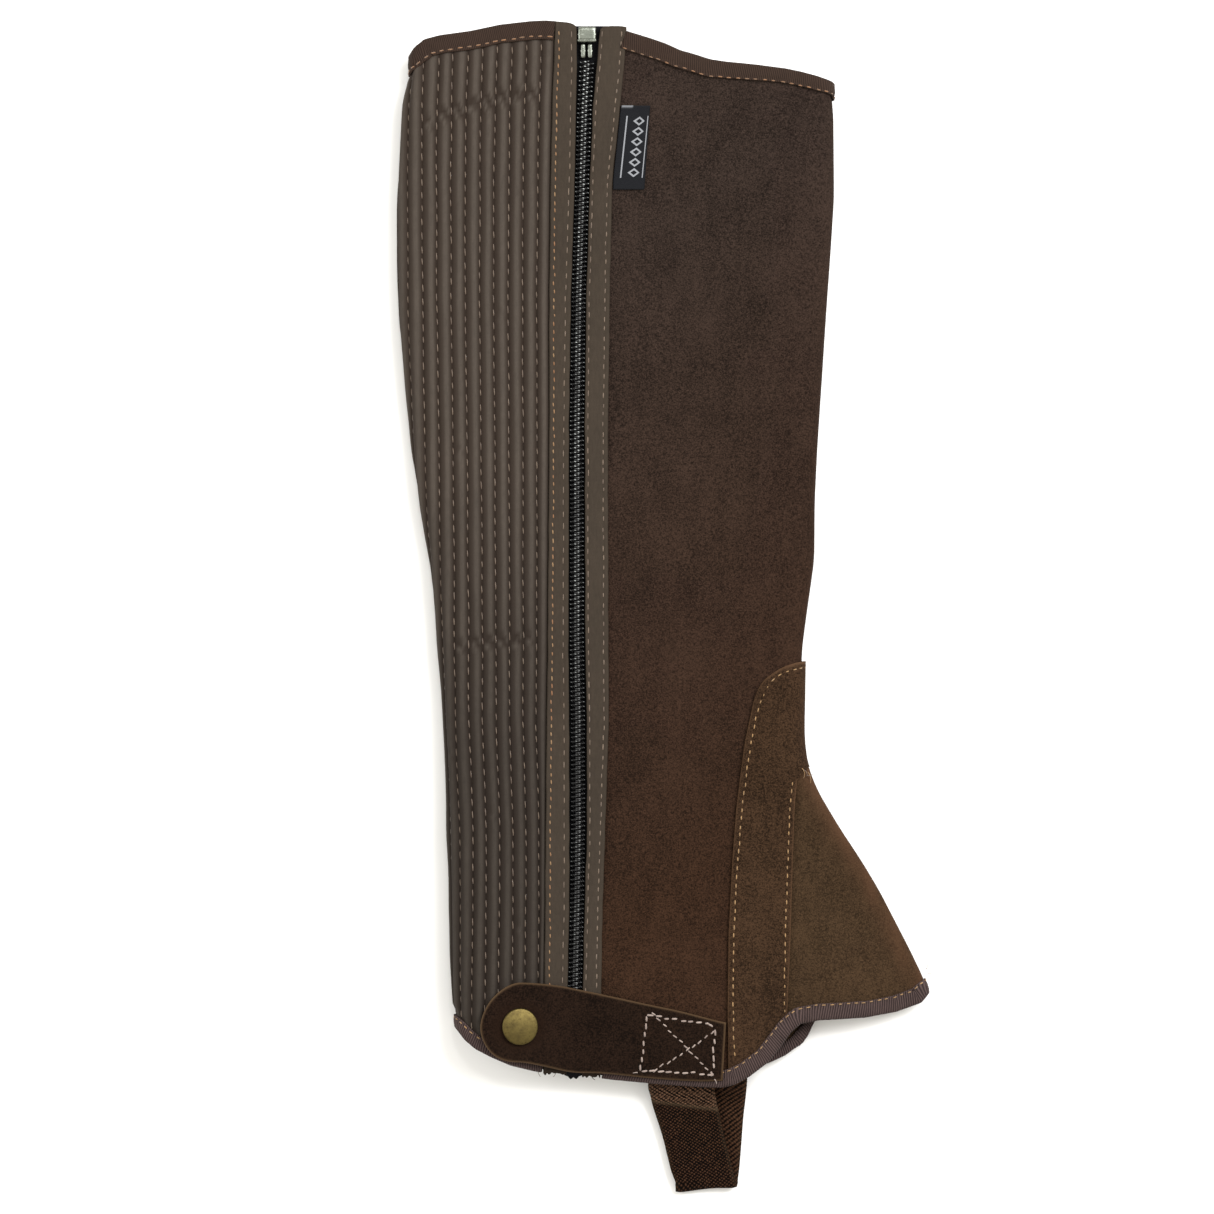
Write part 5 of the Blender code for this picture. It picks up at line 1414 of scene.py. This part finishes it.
def tab_edges(x):
    """Top and bottom of the snap tab: a straight taper with a round left end."""
    held = np.maximum(x, TAB_TURN)
    reach = (-3.0, -1.0, 1.0, 3.0)
    top = sum(column(TAB, np.clip(held + r, TAB_TURN, TAB_CUT), 1) for r in reach) / 4.0
    bottom = sum(column(TAB, np.clip(held + r, TAB_TURN, TAB_CUT), 2) for r in reach) / 4.0
    middle = 0.5 * (top + bottom) - 1.6 * ease((TAB_TURN - x) / TAB_REACH)
    share = np.sqrt(np.clip(1.0 - (np.minimum(x - TAB_TURN, 0.0) / TAB_REACH) ** 2, 0.0, 1.0))
    half = 0.5 * (top - bottom) * share
    return middle + half + TAB_UP, middle - half + TAB_UP - 1.3 * bell(x + 38.0, 10.0)


# across and height of the ends of each row of the tab's crossed box of stitches
TAB_BOX = (
    ((-6.6, -167.6), (17.8, -171.0)), ((17.8, -171.0), (21.0, -173.9)), ((21.0, -173.9), (19.9, -192.2)),
    ((19.9, -192.2), (-9.6, -190.2)), ((-9.6, -190.2), (-6.6, -167.6)),
    ((-4.6, -167.0), (19.4, -191.6)), ((20.6, -174.2), (-5.0, -191.4)),
)


def snap_tab(depth):
    """Tab of dark leather: closed body from its underside up, edges pale, dimpled at cap and seams."""
    turn = np.linspace(0.0, math.pi / 2.0, 22)
    x = np.concatenate([TAB_TURN - TAB_REACH * np.cos(turn), np.linspace(TAB_TURN + 0.8, TAB_CUT, 84)])
    x[0] += 0.02
    top, bottom = tab_edges(x)
    share = 0.5 - 0.5 * np.cos(np.linspace(0.0, math.pi, 37))
    share = 0.6 * share + 0.4 * np.linspace(0.0, 1.0, 37)
    height = bottom[:, None] + (top - bottom)[:, None] * share
    lean = 1.4 * ease((x - 8.0) / 17.0)[:, None] * (1.0 - share)
    across = x[:, None] - lean
    off = np.minimum(height - bottom[:, None], top[:, None] - height)
    off = np.minimum(off, (TAB_CUT - x)[:, None])
    start = int(np.argmin(np.abs(x - TAB_TURN)))
    tall = (height - 0.5 * (top + bottom)[:, None]) / (0.5 * (top - bottom)[start])
    round_end = 15.2 * (1.0 - np.hypot((x - TAB_TURN)[:, None] / TAB_REACH, tall))
    off = np.where((x < TAB_TURN)[:, None], np.maximum(round_end, 0.0), off)
    rim = np.sqrt(np.clip(1.0 - (1.0 - np.clip(off / 0.9, 0.0, 1.0)) ** 2, 0.0, 1.0))
    lift = sum(column(TAB, x + r, 3) for r in (-4.0, -2.0, 0.0, 2.0, 4.0))[:, None] / 5.0
    near_cap = np.hypot(across - CAP_AT[0], height - CAP_AT[1])
    face = 0.12 * ripple(across / 26.0, height / 20.0, 111)
    face = face - 0.28 * bell(near_cap - 8.2, 1.6)
    for (x0, y0), (x1, y1) in TAB_BOX:
        way = np.array([x1 - x0, y1 - y0])
        size = float(np.hypot(*way))
        way = way / size
        along = np.clip((across - x0) * way[0] + (height - y0 - TAB_UP) * way[1], 0.0, size)
        away = np.hypot(across - x0 - along * way[0], height - y0 - TAB_UP - along * way[1])
        face = face - 0.2 * bell(away, 0.8)
    out = lift + TAB_THICK * (0.25 + 0.75 * rim) + depth * face * ease(off / 2.0)
    h, a = there_and_under(height, height), there_and_under(across, across)
    points, quads = swept(wall(h, over(h, a), there_and_under(out, lift + 0.0 * out)))
    edge = there_and_under(bell(off, 0.5), 0.0 * off)
    paler_tint = there_and_under(0.6 * bell(near_cap - 8.5, 2.2), 0.0 * off)
    return add_piece("snap_tab_leather", points, quads, "tab leather",
                     np.stack([a, h], axis=-1) / 10.0, {"edge": edge, "paler_tint": paler_tint}, ["snap_tab"])


def tab_stitches(radius):
    """The crossed box of thick stitches that holds the tab, its rows crossing past the corners."""
    parts = []
    for row, ((x0, y0), (x1, y1)) in enumerate(TAB_BOX):
        t = np.linspace(-0.02, 1.02, 60)
        bow = 0.35 * np.sin(np.pi * t) * (1.0 if row % 2 else -1.0)
        x, y = x0 + (x1 - x0) * t, y0 + (y1 - y0) * t + bow + TAB_UP
        lift = column(TAB, x, 3) + TAB_THICK
        pitch, length, thick = (3.35, 2.9, 1.0) if row < 5 else (3.1, 2.6, 0.72)
        parts.append(dashes(y, over(y, x), lift - 0.12, pitch, length, radius * thick, seed=120 + row,
                            sway=0.2, lean=0.45, rise=0.55))
    return add_thread("tab_stitches", parts, "pale thread")


def snap_cap():
    """Domed cap: a profile of radius and height turned round its axis."""
    lift = float(column(TAB, CAP_AT[0], 3)) + TAB_THICK + GAP
    centre, turn_of = place(CAP_AT[1], CAP_AT[0], lift)
    r, x = SNAP_RADIUS, np.linspace(0.0, 1.0, 16)
    profile = [(0.05, 0.05), (r - 1.2, 0.0), (r - 0.5, 0.02), (r - 0.12, 0.18), (r, 0.5), (r - 0.08, 0.8),
               (r - 0.35, 1.05)]
    radius = np.concatenate([[p[0] for p in profile], (r - 0.5) * (1.0 - x) + 0.03])
    up = np.concatenate([[p[1] for p in profile], 1.1 + 0.5 * (1.0 - (1.0 - x) ** 2)])
    angle = np.linspace(0.0, 2.0 * math.pi, 96, endpoint=False)
    ring = np.stack([radius[:, None] * np.cos(angle), radius[:, None] * np.sin(angle),
                     np.broadcast_to(up[:, None], (len(radius), 96))], axis=-1)
    points, quads = swept(ring @ turn_of.T + centre)
    return add_piece("snap_cap_domed", points, quads, "aged brass", hides=["snap_cap"])


def woven_label():
    """Label with its upper end turned under, sewn in under the band."""
    upper, lower = 205.4, 171.2
    heights = np.linspace(upper, lower, 60)
    left = column(ZIP, heights, 4) + GAP
    right = np.interp(-heights, (-upper, -lower), (-5.5, -7.9))

    def shape(h, x):
        """A roll at the turned end, and ripples on the loose side."""
        loose = ease((x + 13.0) / 6.0) * ripple(x / 9.0, h / 16.0, 131)
        return 0.25 * bell(upper - h, 1.6) + 0.25 * loose

    rings = strip_rings(heights, left, right, GAP, GAP + LABEL_THICK, count=25, crown=0.05,
                        round_by=0.2, shape=shape)
    points, quads = swept(rings)
    across = there_and_back(25)
    wide = (right - left)[:, None] * across / 10.0
    uv = np.stack([wide, np.broadcast_to((upper - heights)[:, None] / 10.0, wide.shape)], axis=-1)
    edge = bell(upper - 0.1 - heights[:, None], 0.5) * (across < 0.45) * (across > 0.08)
    return add_piece("woven_label_bare", points, quads, "label satin",
                     uv, {"edge": edge}, ["label"])


# left, right, height of the strap's rows: inside the near wall, bare (with z), inside the far wall;
# STRAP_TURN is the left, middle and right of its lowest row, as across, height and z
STRAP_IN = ((-1.0, 21.0, -168.0), (-3.0, 21.0, -180.0), (-5.4, 21.2, -190.0))
STRAP_NEAR = ((-6.4, 20.9, -196.0, 9.0), (-5.4, 21.6, -200.5, 7.0), (-4.2, 22.6, -205.5, 4.9),
              (-0.4, 25.3, -217.5, 4.3), (3.0, 28.8, -231.0, 4.2), (4.9, 29.9, -236.3, 4.0))
STRAP_TURN = ((5.0, -240.1, 2.4), (17.5, -238.3, 2.4), (30.6, -236.4, 2.4))
STRAP_FAR = ((4.9, 30.6, -236.3, 0.8), (4.7, 31.4, -229.5, 0.8), (5.6, 32.8, -211.5, 0.8),
             (6.4, 33.6, -204.0, 1.6))
STRAP_OUT = ((7.2, 34.2, -195.4), (7.6, 34.4, -188.0), (8.0, 34.6, -178.0), (8.4, 35.0, -166.0))


def strap_rows(table, tilt):
    """Left, middle and right of the strap's rows: across, heights tilted by tilt, and z where stated."""
    rows = np.array(table)
    x = np.stack([rows[:, 0], rows[:, :2].mean(axis=1), rows[:, 1]], axis=1)
    return x, rows[:, 2:3] + np.array(tilt), rows[:, 3:4]


def stirrup_strap():
    """Elastic loop: a flat section carried down the near side, round the bottom and back up."""
    inside = -WALL - GAP - 0.6 - GAP - STRAP_THICK / 2.0 - 0.4
    x, h, _ = strap_rows(STRAP_IN, (0.0, -0.7, -1.4))
    rows = [wall(h, over(h, x), inside)]
    x, h, z = strap_rows(STRAP_NEAR, (0.0, -0.8, -1.6))
    rows.append(np.stack([x, h, z + np.array([0.0, 0.1, 0.0])], axis=-1))
    rows.append(np.array([STRAP_TURN]))
    x, h, z = strap_rows(STRAP_FAR, (-0.6, 0.0, 0.6))
    rows.append(np.stack([x, h, z + np.zeros(3)], axis=-1))
    x, h, _ = strap_rows(STRAP_OUT, (0.0, 0.0, 0.0))
    rows.append(wall(h, under(h, x), inside))
    knots = smooth_line(np.concatenate(rows), 190)
    share = np.linspace(-1.0, 1.0, 15)
    left, mid, right = (knots[:, i:i + 1] for i in range(3))
    s = share[None, :, None]
    face = mid + 0.5 * (right - left) * s + (0.5 * (left + right) - mid) * s ** 2
    run = np.gradient(face, axis=0)
    up = unit(np.cross(right - left, run))
    thick = 0.5 * STRAP_THICK * (1.0 - 0.75 * np.abs(share) ** 10)[None, :, None]
    rings = there_and_under(face + up * thick, face - up * thick)
    points, quads = swept(rings)
    length, _ = along_path(knots[:, 1], 2)
    v = 1.3 * np.concatenate([share, share[::-1]])
    uv = np.stack(np.meshgrid(length / 10.0, v, indexing="ij"), axis=-1)
    # the far strand shows its coarse back; the near one has painted light, a brighter colour above the
    # slanting line of the hem, and a painted highlight along that line where it bends
    behind = np.arange(len(knots)) > 100
    line = rings[:, :, 1] + 204.6 + 0.13 * (rings[:, :, 0] - 9.0)
    edge = 0.2 * (np.abs(v) > 1.22)[None, :] + 0.55 * bell(line, 0.7) * ~behind[:, None]
    coarse = np.where(behind[:, None], 0.8, np.where(line > 0.0, 0.45, 0.0))
    lit = np.where((line > 0.0) & ~behind[:, None], 1.0, 0.0)
    return add_piece("stirrup_strap_elastic", points, quads, "strap twill", uv,
                     {"edge": edge, "coarse": coarse, "lit": lit}, ["stirrup_strap"])


# across and height of the two seams of the overlay
OVERLAY_SEAM = ((57.6, -24.6), (50.5, -26.4), (45.8, -29.2), (42.4, -33.0), (40.2, -38.5), (38.6, -43.4),
                (35.6, -57.6), (33.4, -72.8), (32.0, -83.5), (29.7, -114.0), (28.4, -145.0),
                (28.6, -176.0), (29.4, -186.0))
GUSSET_SEAM = ((52.8, -70.5), (51.7, -82.8), (50.5, -110.7), (49.6, -140.0), (49.3, -163.5),
               (49.0, -171.5))


def overlay_stitches():
    """Both seams of the overlay, on the upper side and mirrored on the far one."""
    parts = []
    for seed, knots in ((141, OVERLAY_SEAM), (142, GUSSET_SEAM)):
        line = smooth_line(np.array(knots), 240)
        for side, more in ((over, 0), (under, 10)):
            arcs = side(line[:, 1], line[:, 0])
            parts.append(dashes(line[:, 1], arcs, OVERLAY_LIFT - 0.28, pitch=3.45, length=2.25,
                                radius=0.28, seed=seed + more, sway=0.08, lean=0.1, rise=0.35))
    return add_thread("overlay_stitches", parts, "gold thread")


# thread, across, height, z, heading in degrees, length, curl, thickness of each loose end
LOOSE_ENDS = (
    ("gold thread", 56.2, -65.6, 12.4, -40.0, 5.0, -1.3, 0.16),
    ("beige thread", 57.0, -66.6, 12.0, -15.0, 3.6, -1.6, 0.14),
    ("gold thread", 58.8, -67.2, 10.9, -50.0, 5.4, -0.9, 0.15),
    ("beige thread", 58.4, -68.8, 11.4, -25.0, 3.0, 1.2, 0.12),
    ("pale thread", 107.5, -149.0, 5.0, 50.0, 4.0, 0.9, 0.14),
    ("pale thread", 108.3, -150.5, 5.5, 15.0, 3.0, -1.0, 0.12),
    ("beige thread", -51.0, -188.5, 13.0, -110.0, 4.0, 1.0, 0.14),
    ("beige thread", -44.5, -189.6, 13.0, -70.0, 3.0, -1.2, 0.14),
    ("black thread", -33.0, -191.2, 12.0, -60.0, 2.6, 1.3, 0.16),
    ("black thread", -36.5, -191.0, 12.0, -100.0, 2.4, -1.2, 0.16),
    ("black thread", -29.5, -191.8, 12.0, -75.0, 2.4, 0.8, 0.16),
    ("beige thread", -25.5, -192.2, 12.0, -50.0, 2.2, 1.2, 0.14),
    ("pale thread", -10.5, -190.0, 19.0, 170.0, 2.6, 0.8, 0.22),
    ("pale thread", 20.5, -192.6, 18.6, -40.0, 2.4, -0.9, 0.22),
    ("black thread", -12.0, 170.8, 8.8, -95.0, 1.6, 1.0, 0.1),
    ("black thread", -15.0, 170.8, 8.8, -80.0, 1.8, -1.0, 0.1),
)


def loose_ends():
    """Cut thread ends: each an arc that curls as it goes."""
    for thread in sorted({row[0] for row in LOOSE_ENDS}):
        rows = np.array([row[1:] for row in LOOSE_ENDS if row[0] == thread])
        t = np.linspace(0.0, 1.0, 12)
        angle = np.radians(rows[:, 3:4]) + rows[:, 5:6] * t
        step = rows[:, 4:5] / 12.0
        x = rows[:, 0:1] + np.cumsum(np.cos(angle) * step, axis=1)
        y = rows[:, 1:2] + np.cumsum(np.sin(angle) * step, axis=1)
        z = rows[:, 2:3] - 0.6 * t ** 2 + 0.3 * np.sin(5.0 * t)
        spine = np.stack([x, y, z], axis=-1)
        way = np.gradient(spine, axis=1)
        up = np.broadcast_to(np.array([0.0, 0.0, 1.0]), way.shape)
        radius = rows[:, 6:7] * (1.0 - 0.4 * t[None])
        points, quads = tubes(spine, unit(np.cross(way, up)), up, radius)
        add_piece("loose_" + thread.replace(" ", "_"), points, quads, thread,
                  marks={"tone": np.full(len(points), 0.5)})


# a material's own colour as a share of the colour seen under the stage's lights
CLOTH_SHARE = 0.44
# camera's height, height of the face that it sees, width and middle of the picture there, in metres
CAMERA_HEIGHT, FACE_HEIGHT = 2.4, 0.008
VIEW_WIDTH, VIEW_MIDDLE = 0.4977, -0.0232
SENSOR_WIDTH = 36.0
# name, place, size, power, colour
LIGHTS = (
    ("high window", (1.1, 0.9, 1.7), 1.1, 66.0, (0.99, 0.99, 1.0)),
    ("left fill", (-1.5, 0.2, 1.4), 1.6, 22.0, (0.98, 0.99, 1.0)),
    ("lamp by the camera", (0.12, 0.8, 2.1), 0.2, 6.0, (1.0, 1.0, 1.0)),
)


def shade(red, green, blue):
    """A colour as seen on the lit cloth, 0 to 255, to the value that a material holds."""
    part = np.array([red, green, blue]) / 255.0
    linear = np.where(part <= 0.04045, part / 12.92, ((part + 0.055) / 1.055) ** 2.4)
    return tuple((linear * CLOTH_SHARE).tolist())


def scaled(color, share):
    """The colour times share, at most white."""
    return tuple(min(c * share, 1.0) for c in color)


def color_prop(name, description, red, green, blue):
    """A colour setting whose default is given as seen on the lit cloth."""
    return FloatVectorProperty(name=name, description=description, subtype="COLOR", size=3,
                               min=0.0, max=1.0, default=shade(red, green, blue))


class ChapSizes(bpy.types.PropertyGroup):
    rib_height: FloatProperty(name="Rib height", description="How far a rib stands over its stitch lines",
                              default=0.00105, min=0.0, max=0.003, unit="LENGTH", precision=4)
    crease_depth: FloatProperty(name="Crease depth", description="Share of the soft creases' full depth",
                                default=1.0, min=0.0, max=1.6, subtype="FACTOR")
    tooth_pitch: FloatProperty(name="Tooth pitch", description="Distance between coil turns on one side",
                               default=0.00188, min=0.0012, max=0.004, unit="LENGTH", precision=5)
    tab_thread: FloatProperty(name="Tab thread", description="Radius of the thick thread on the snap tab",
                              default=0.0004, min=0.0002, max=0.001, unit="LENGTH", precision=5)
    floor_size: FloatProperty(name="Floor", description="Width of the table that the chap lies on",
                              default=4.0, min=1.0, max=12.0, unit="LENGTH")


class ChapColors(bpy.types.PropertyGroup):
    suede: color_prop("Suede", "Shin and inner calf panel", 62, 47, 39)
    gusset: color_prop("Gusset suede", "Paler suede over the instep", 71, 54, 38)
    overlay: color_prop("Overlay suede", "Warm brown suede round the ankle seam", 66, 48, 34)
    ribbed: color_prop("Ribbed cloth", "Stretch cloth of the calf", 93, 84, 76)
    band: color_prop("Bands", "Woven bands beside the zip", 72, 62, 52)
    binding: color_prop("Top binding", "Tape over the top edge", 62, 47, 39)
    lower_binding: color_prop("Lower binding", "Ribbed tape over the bottom edge", 75, 61, 59)
    leather: color_prop("Leather", "Snap tab", 37, 25, 18)
    elastic: color_prop("Strap", "Elastic under the foot", 45, 23, 14)
    thread: color_prop("Gold thread", "Seams of overlay and lower edge", 184, 142, 88)
    orange: color_prop("Orange thread", "Outer row of the calf's band", 176, 112, 62)
    brass: color_prop("Brass", "Cap of the snap", 126, 111, 66)


def make_materials(colors):
    """Every finish of the chap, the shared groups first."""
    nap_group()
    lines_group()
    weave_group()
    suede_material("shin suede", colors.suede, patch=24.0, grain=850.0, contrast=2.6, spread=0.6,
                   warm=(1.25, 1.15, 1.05), cut=scaled(colors.suede, 2.3), drift=True)
    suede_material("gusset suede", colors.gusset, patch=40.0, grain=850.0, contrast=2.6, spread=0.5,
                   warm=(2.1, 1.75, 1.8), cut=scaled(colors.gusset, 2.0))
    suede_material("overlay suede", colors.overlay, patch=44.0, grain=850.0, contrast=3.0, spread=0.6,
                   warm=(1.2, 1.1, 1.0), cut=scaled(colors.overlay, 3.4))
    plain_cloth_material("ribbed cloth", colors.ribbed, groove=1.0, low=0.62)
    plain_cloth_material("band cloth", colors.band, groove=0.3)
    rows_material("top binding tape", colors.binding, pitch=0.09, lean=0.4, depth=0.4, strength=0.5)
    rows_material("lower binding tape", colors.lower_binding, pitch=0.1, lean=0.25, depth=0.65,
                  strength=0.8, high=2.0)
    rows_material("zip tape weave", shade(26, 26, 30), pitch=0.07, lean=1.0, depth=0.5, strength=0.6)
    twill_material("strap twill", colors.elastic)
    suede_material("tab leather", colors.leather, patch=60.0, grain=800.0, contrast=3.0, spread=0.6,
                   warm=(1.3, 1.2, 1.1), cut=shade(116, 92, 68))
    thread_material("beige thread", shade(112, 92, 78), shade(142, 120, 100))
    thread_material("tan thread", shade(126, 96, 70), shade(170, 116, 68))
    thread_material("gold thread", scaled(colors.thread, 0.75), scaled(colors.thread, 1.2))
    thread_material("orange thread", scaled(colors.orange, 0.8), shade(172, 136, 92))
    thread_material("pale thread", shade(160, 138, 128), shade(205, 184, 172))
    thread_material("black thread", shade(3, 3, 4), shade(12, 12, 14), roughness=0.35, sheen=0.0)
    coil_material()
    label_material()
    metal_material("zip metal", shade(182, 188, 176), shade(100, 106, 96), roughness=0.32)
    metal_material("aged brass", colors.brass, shade(70, 58, 40), roughness=0.42, scale=300.0, share=0.75)


class CHAP_OT_materials(bpy.types.Operator):
    """Makes the finishes and gives the hidden slider, puller and snap parts theirs"""

    bl_idname = "chap.materials"
    bl_label = "Materials"

    def execute(self, context):
        make_materials(context.scene.chap_colors)
        for node, made_of in (("zip_slider", "zip metal"), ("zip_puller", "zip metal"),
                              ("snap_stud", "aged brass"), ("snap_socket", "aged brass")):
            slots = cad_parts[node].data.materials
            slots.clear()
            slots.append(bpy.data.materials[made_of])
        return {"FINISHED"}


class CHAP_OT_suede(bpy.types.Operator):
    """Shin panel, instep gusset and ankle overlay with their seams"""

    bl_idname = "chap.suede"
    bl_label = "Suede Panels"

    def execute(self, context):
        sizes = context.scene.chap_sizes
        suede_panel(sizes.crease_depth)
        instep_gusset(sizes.crease_depth)
        ankle_overlay(sizes.crease_depth)
        overlay_stitches()
        return {"FINISHED"}


class CHAP_OT_ribs(bpy.types.Operator):
    """Ribbed calf panel and its stitch lines"""

    bl_idname = "chap.ribs"
    bl_label = "Ribbed Panel"

    def execute(self, context):
        sizes = context.scene.chap_sizes
        ribbed_panel(sizes.rib_height / MM)
        rib_stitches()
        return {"FINISHED"}


class CHAP_OT_bindings(bpy.types.Operator):
    """Tape bound over the top and bottom edges, with its stitches"""

    bl_idname = "chap.bindings"
    bl_label = "Bindings"

    def execute(self, context):
        top_bindings()
        bottom_bindings()
        return {"FINISHED"}


class CHAP_OT_zip(bpy.types.Operator):
    """Bands, tape, coil, box and pins of the zip"""

    bl_idname = "chap.zip"
    bl_label = "Zip"

    def execute(self, context):
        sizes = context.scene.chap_sizes
        zip_tape()
        zip_bands()
        zip_teeth(sizes.tooth_pitch / MM)
        zip_box_and_pins()
        return {"FINISHED"}


class CHAP_OT_tab(bpy.types.Operator):
    """Snap tab with its crossed box of stitches and the snap's cap"""

    bl_idname = "chap.tab"
    bl_label = "Snap Tab"

    def execute(self, context):
        sizes = context.scene.chap_sizes
        snap_tab(sizes.crease_depth)
        tab_stitches(sizes.tab_thread / MM)
        snap_cap()
        return {"FINISHED"}


class CHAP_OT_trim(bpy.types.Operator):
    """Bare woven label, stirrup strap and loose thread ends"""

    bl_idname = "chap.trim"
    bl_label = "Label, Strap and Ends"

    def execute(self, context):
        woven_label()
        stirrup_strap()
        loose_ends()
        return {"FINISHED"}


class CHAP_OT_sheets(bpy.types.Operator):
    """Does nothing: no flat size of a cloth piece is stated"""

    bl_idname = "chap.sheets"
    bl_label = "Cloth Sizes"

    def execute(self, context):
        return {"FINISHED"}


class CHAP_OT_stage(bpy.types.Operator):
    """White table, soft light from above right and the camera straight above"""

    bl_idname = "chap.stage"
    bl_label = "Stage"

    def execute(self, context):
        scene = context.scene
        half = scene.chap_sizes.floor_size / 2.0
        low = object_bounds()[0][2] - 0.0002
        mesh = bpy.data.meshes.new("studio_table")
        mesh.from_pydata([(-half, -half, low), (half, -half, low), (half, half, low), (-half, half, low)],
                         [], [(0, 1, 2, 3)])
        floor_material((0.8, 0.8, 0.8))
        mesh.materials.append(bpy.data.materials["studio floor"])
        table = bpy.data.objects.new("studio_table", mesh)
        scene.collection.objects.link(table)
        table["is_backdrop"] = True
        world = bpy.data.worlds.new("soft room")
        world.use_nodes = True
        back = world.node_tree.nodes["Background"]
        back.inputs["Color"].default_value = (1.0, 0.96, 0.87, 1.0)
        back.inputs["Strength"].default_value = 1.0
        scene.world = world
        for name, at, size, power, tint in LIGHTS:
            lamp = bpy.data.lights.new(name, "AREA")
            lamp.shape, lamp.size, lamp.energy, lamp.color = "SQUARE", size, power, tint
            obj = bpy.data.objects.new(name, lamp)
            obj.location = at
            obj.rotation_euler = (-Vector(at)).to_track_quat("-Z", "Y").to_euler()
            scene.collection.objects.link(obj)
        camera = bpy.data.cameras.new("from above")
        camera.sensor_width = SENSOR_WIDTH
        camera.lens = SENSOR_WIDTH * (CAMERA_HEIGHT - FACE_HEIGHT) / VIEW_WIDTH
        camera.clip_end = 20.0
        eye = bpy.data.objects.new("from above", camera)
        eye.location = (VIEW_MIDDLE, 0.0, CAMERA_HEIGHT)
        scene.collection.objects.link(eye)
        scene.camera = eye
        scene.view_settings.view_transform = "Standard"
        return {"FINISHED"}


OPERATORS = (CHAP_OT_materials, CHAP_OT_suede, CHAP_OT_ribs, CHAP_OT_bindings, CHAP_OT_zip,
             CHAP_OT_tab, CHAP_OT_trim, CHAP_OT_sheets, CHAP_OT_stage)


class CHAP_PT_panel(bpy.types.Panel):
    """Sizes, colours and the steps in their order"""

    bl_label = "Half Chap"
    bl_idname = "CHAP_PT_panel"
    bl_space_type = "VIEW_3D"
    bl_region_type = "UI"
    bl_category = "Half Chap"

    def draw(self, context):
        layout = self.layout
        for group in (context.scene.chap_sizes, context.scene.chap_colors):
            box = layout.box()
            for name in group.__annotations__:
                box.prop(group, name)
        for step in OPERATORS:
            layout.operator(step.bl_idname)


CLASSES = (ChapSizes, ChapColors) + OPERATORS + (CHAP_PT_panel,)


def register():
    for cls in CLASSES:
        bpy.utils.register_class(cls)
    bpy.types.Scene.chap_sizes = PointerProperty(type=ChapSizes)
    bpy.types.Scene.chap_colors = PointerProperty(type=ChapColors)


def unregister():
    del bpy.types.Scene.chap_colors
    del bpy.types.Scene.chap_sizes
    for cls in reversed(CLASSES):
        bpy.utils.unregister_class(cls)


def main():
    register()
    for step in OPERATORS:
        family, name = step.bl_idname.split(".")
        getattr(getattr(bpy.ops, family), name)()


if __name__ == "__main__":
    main()
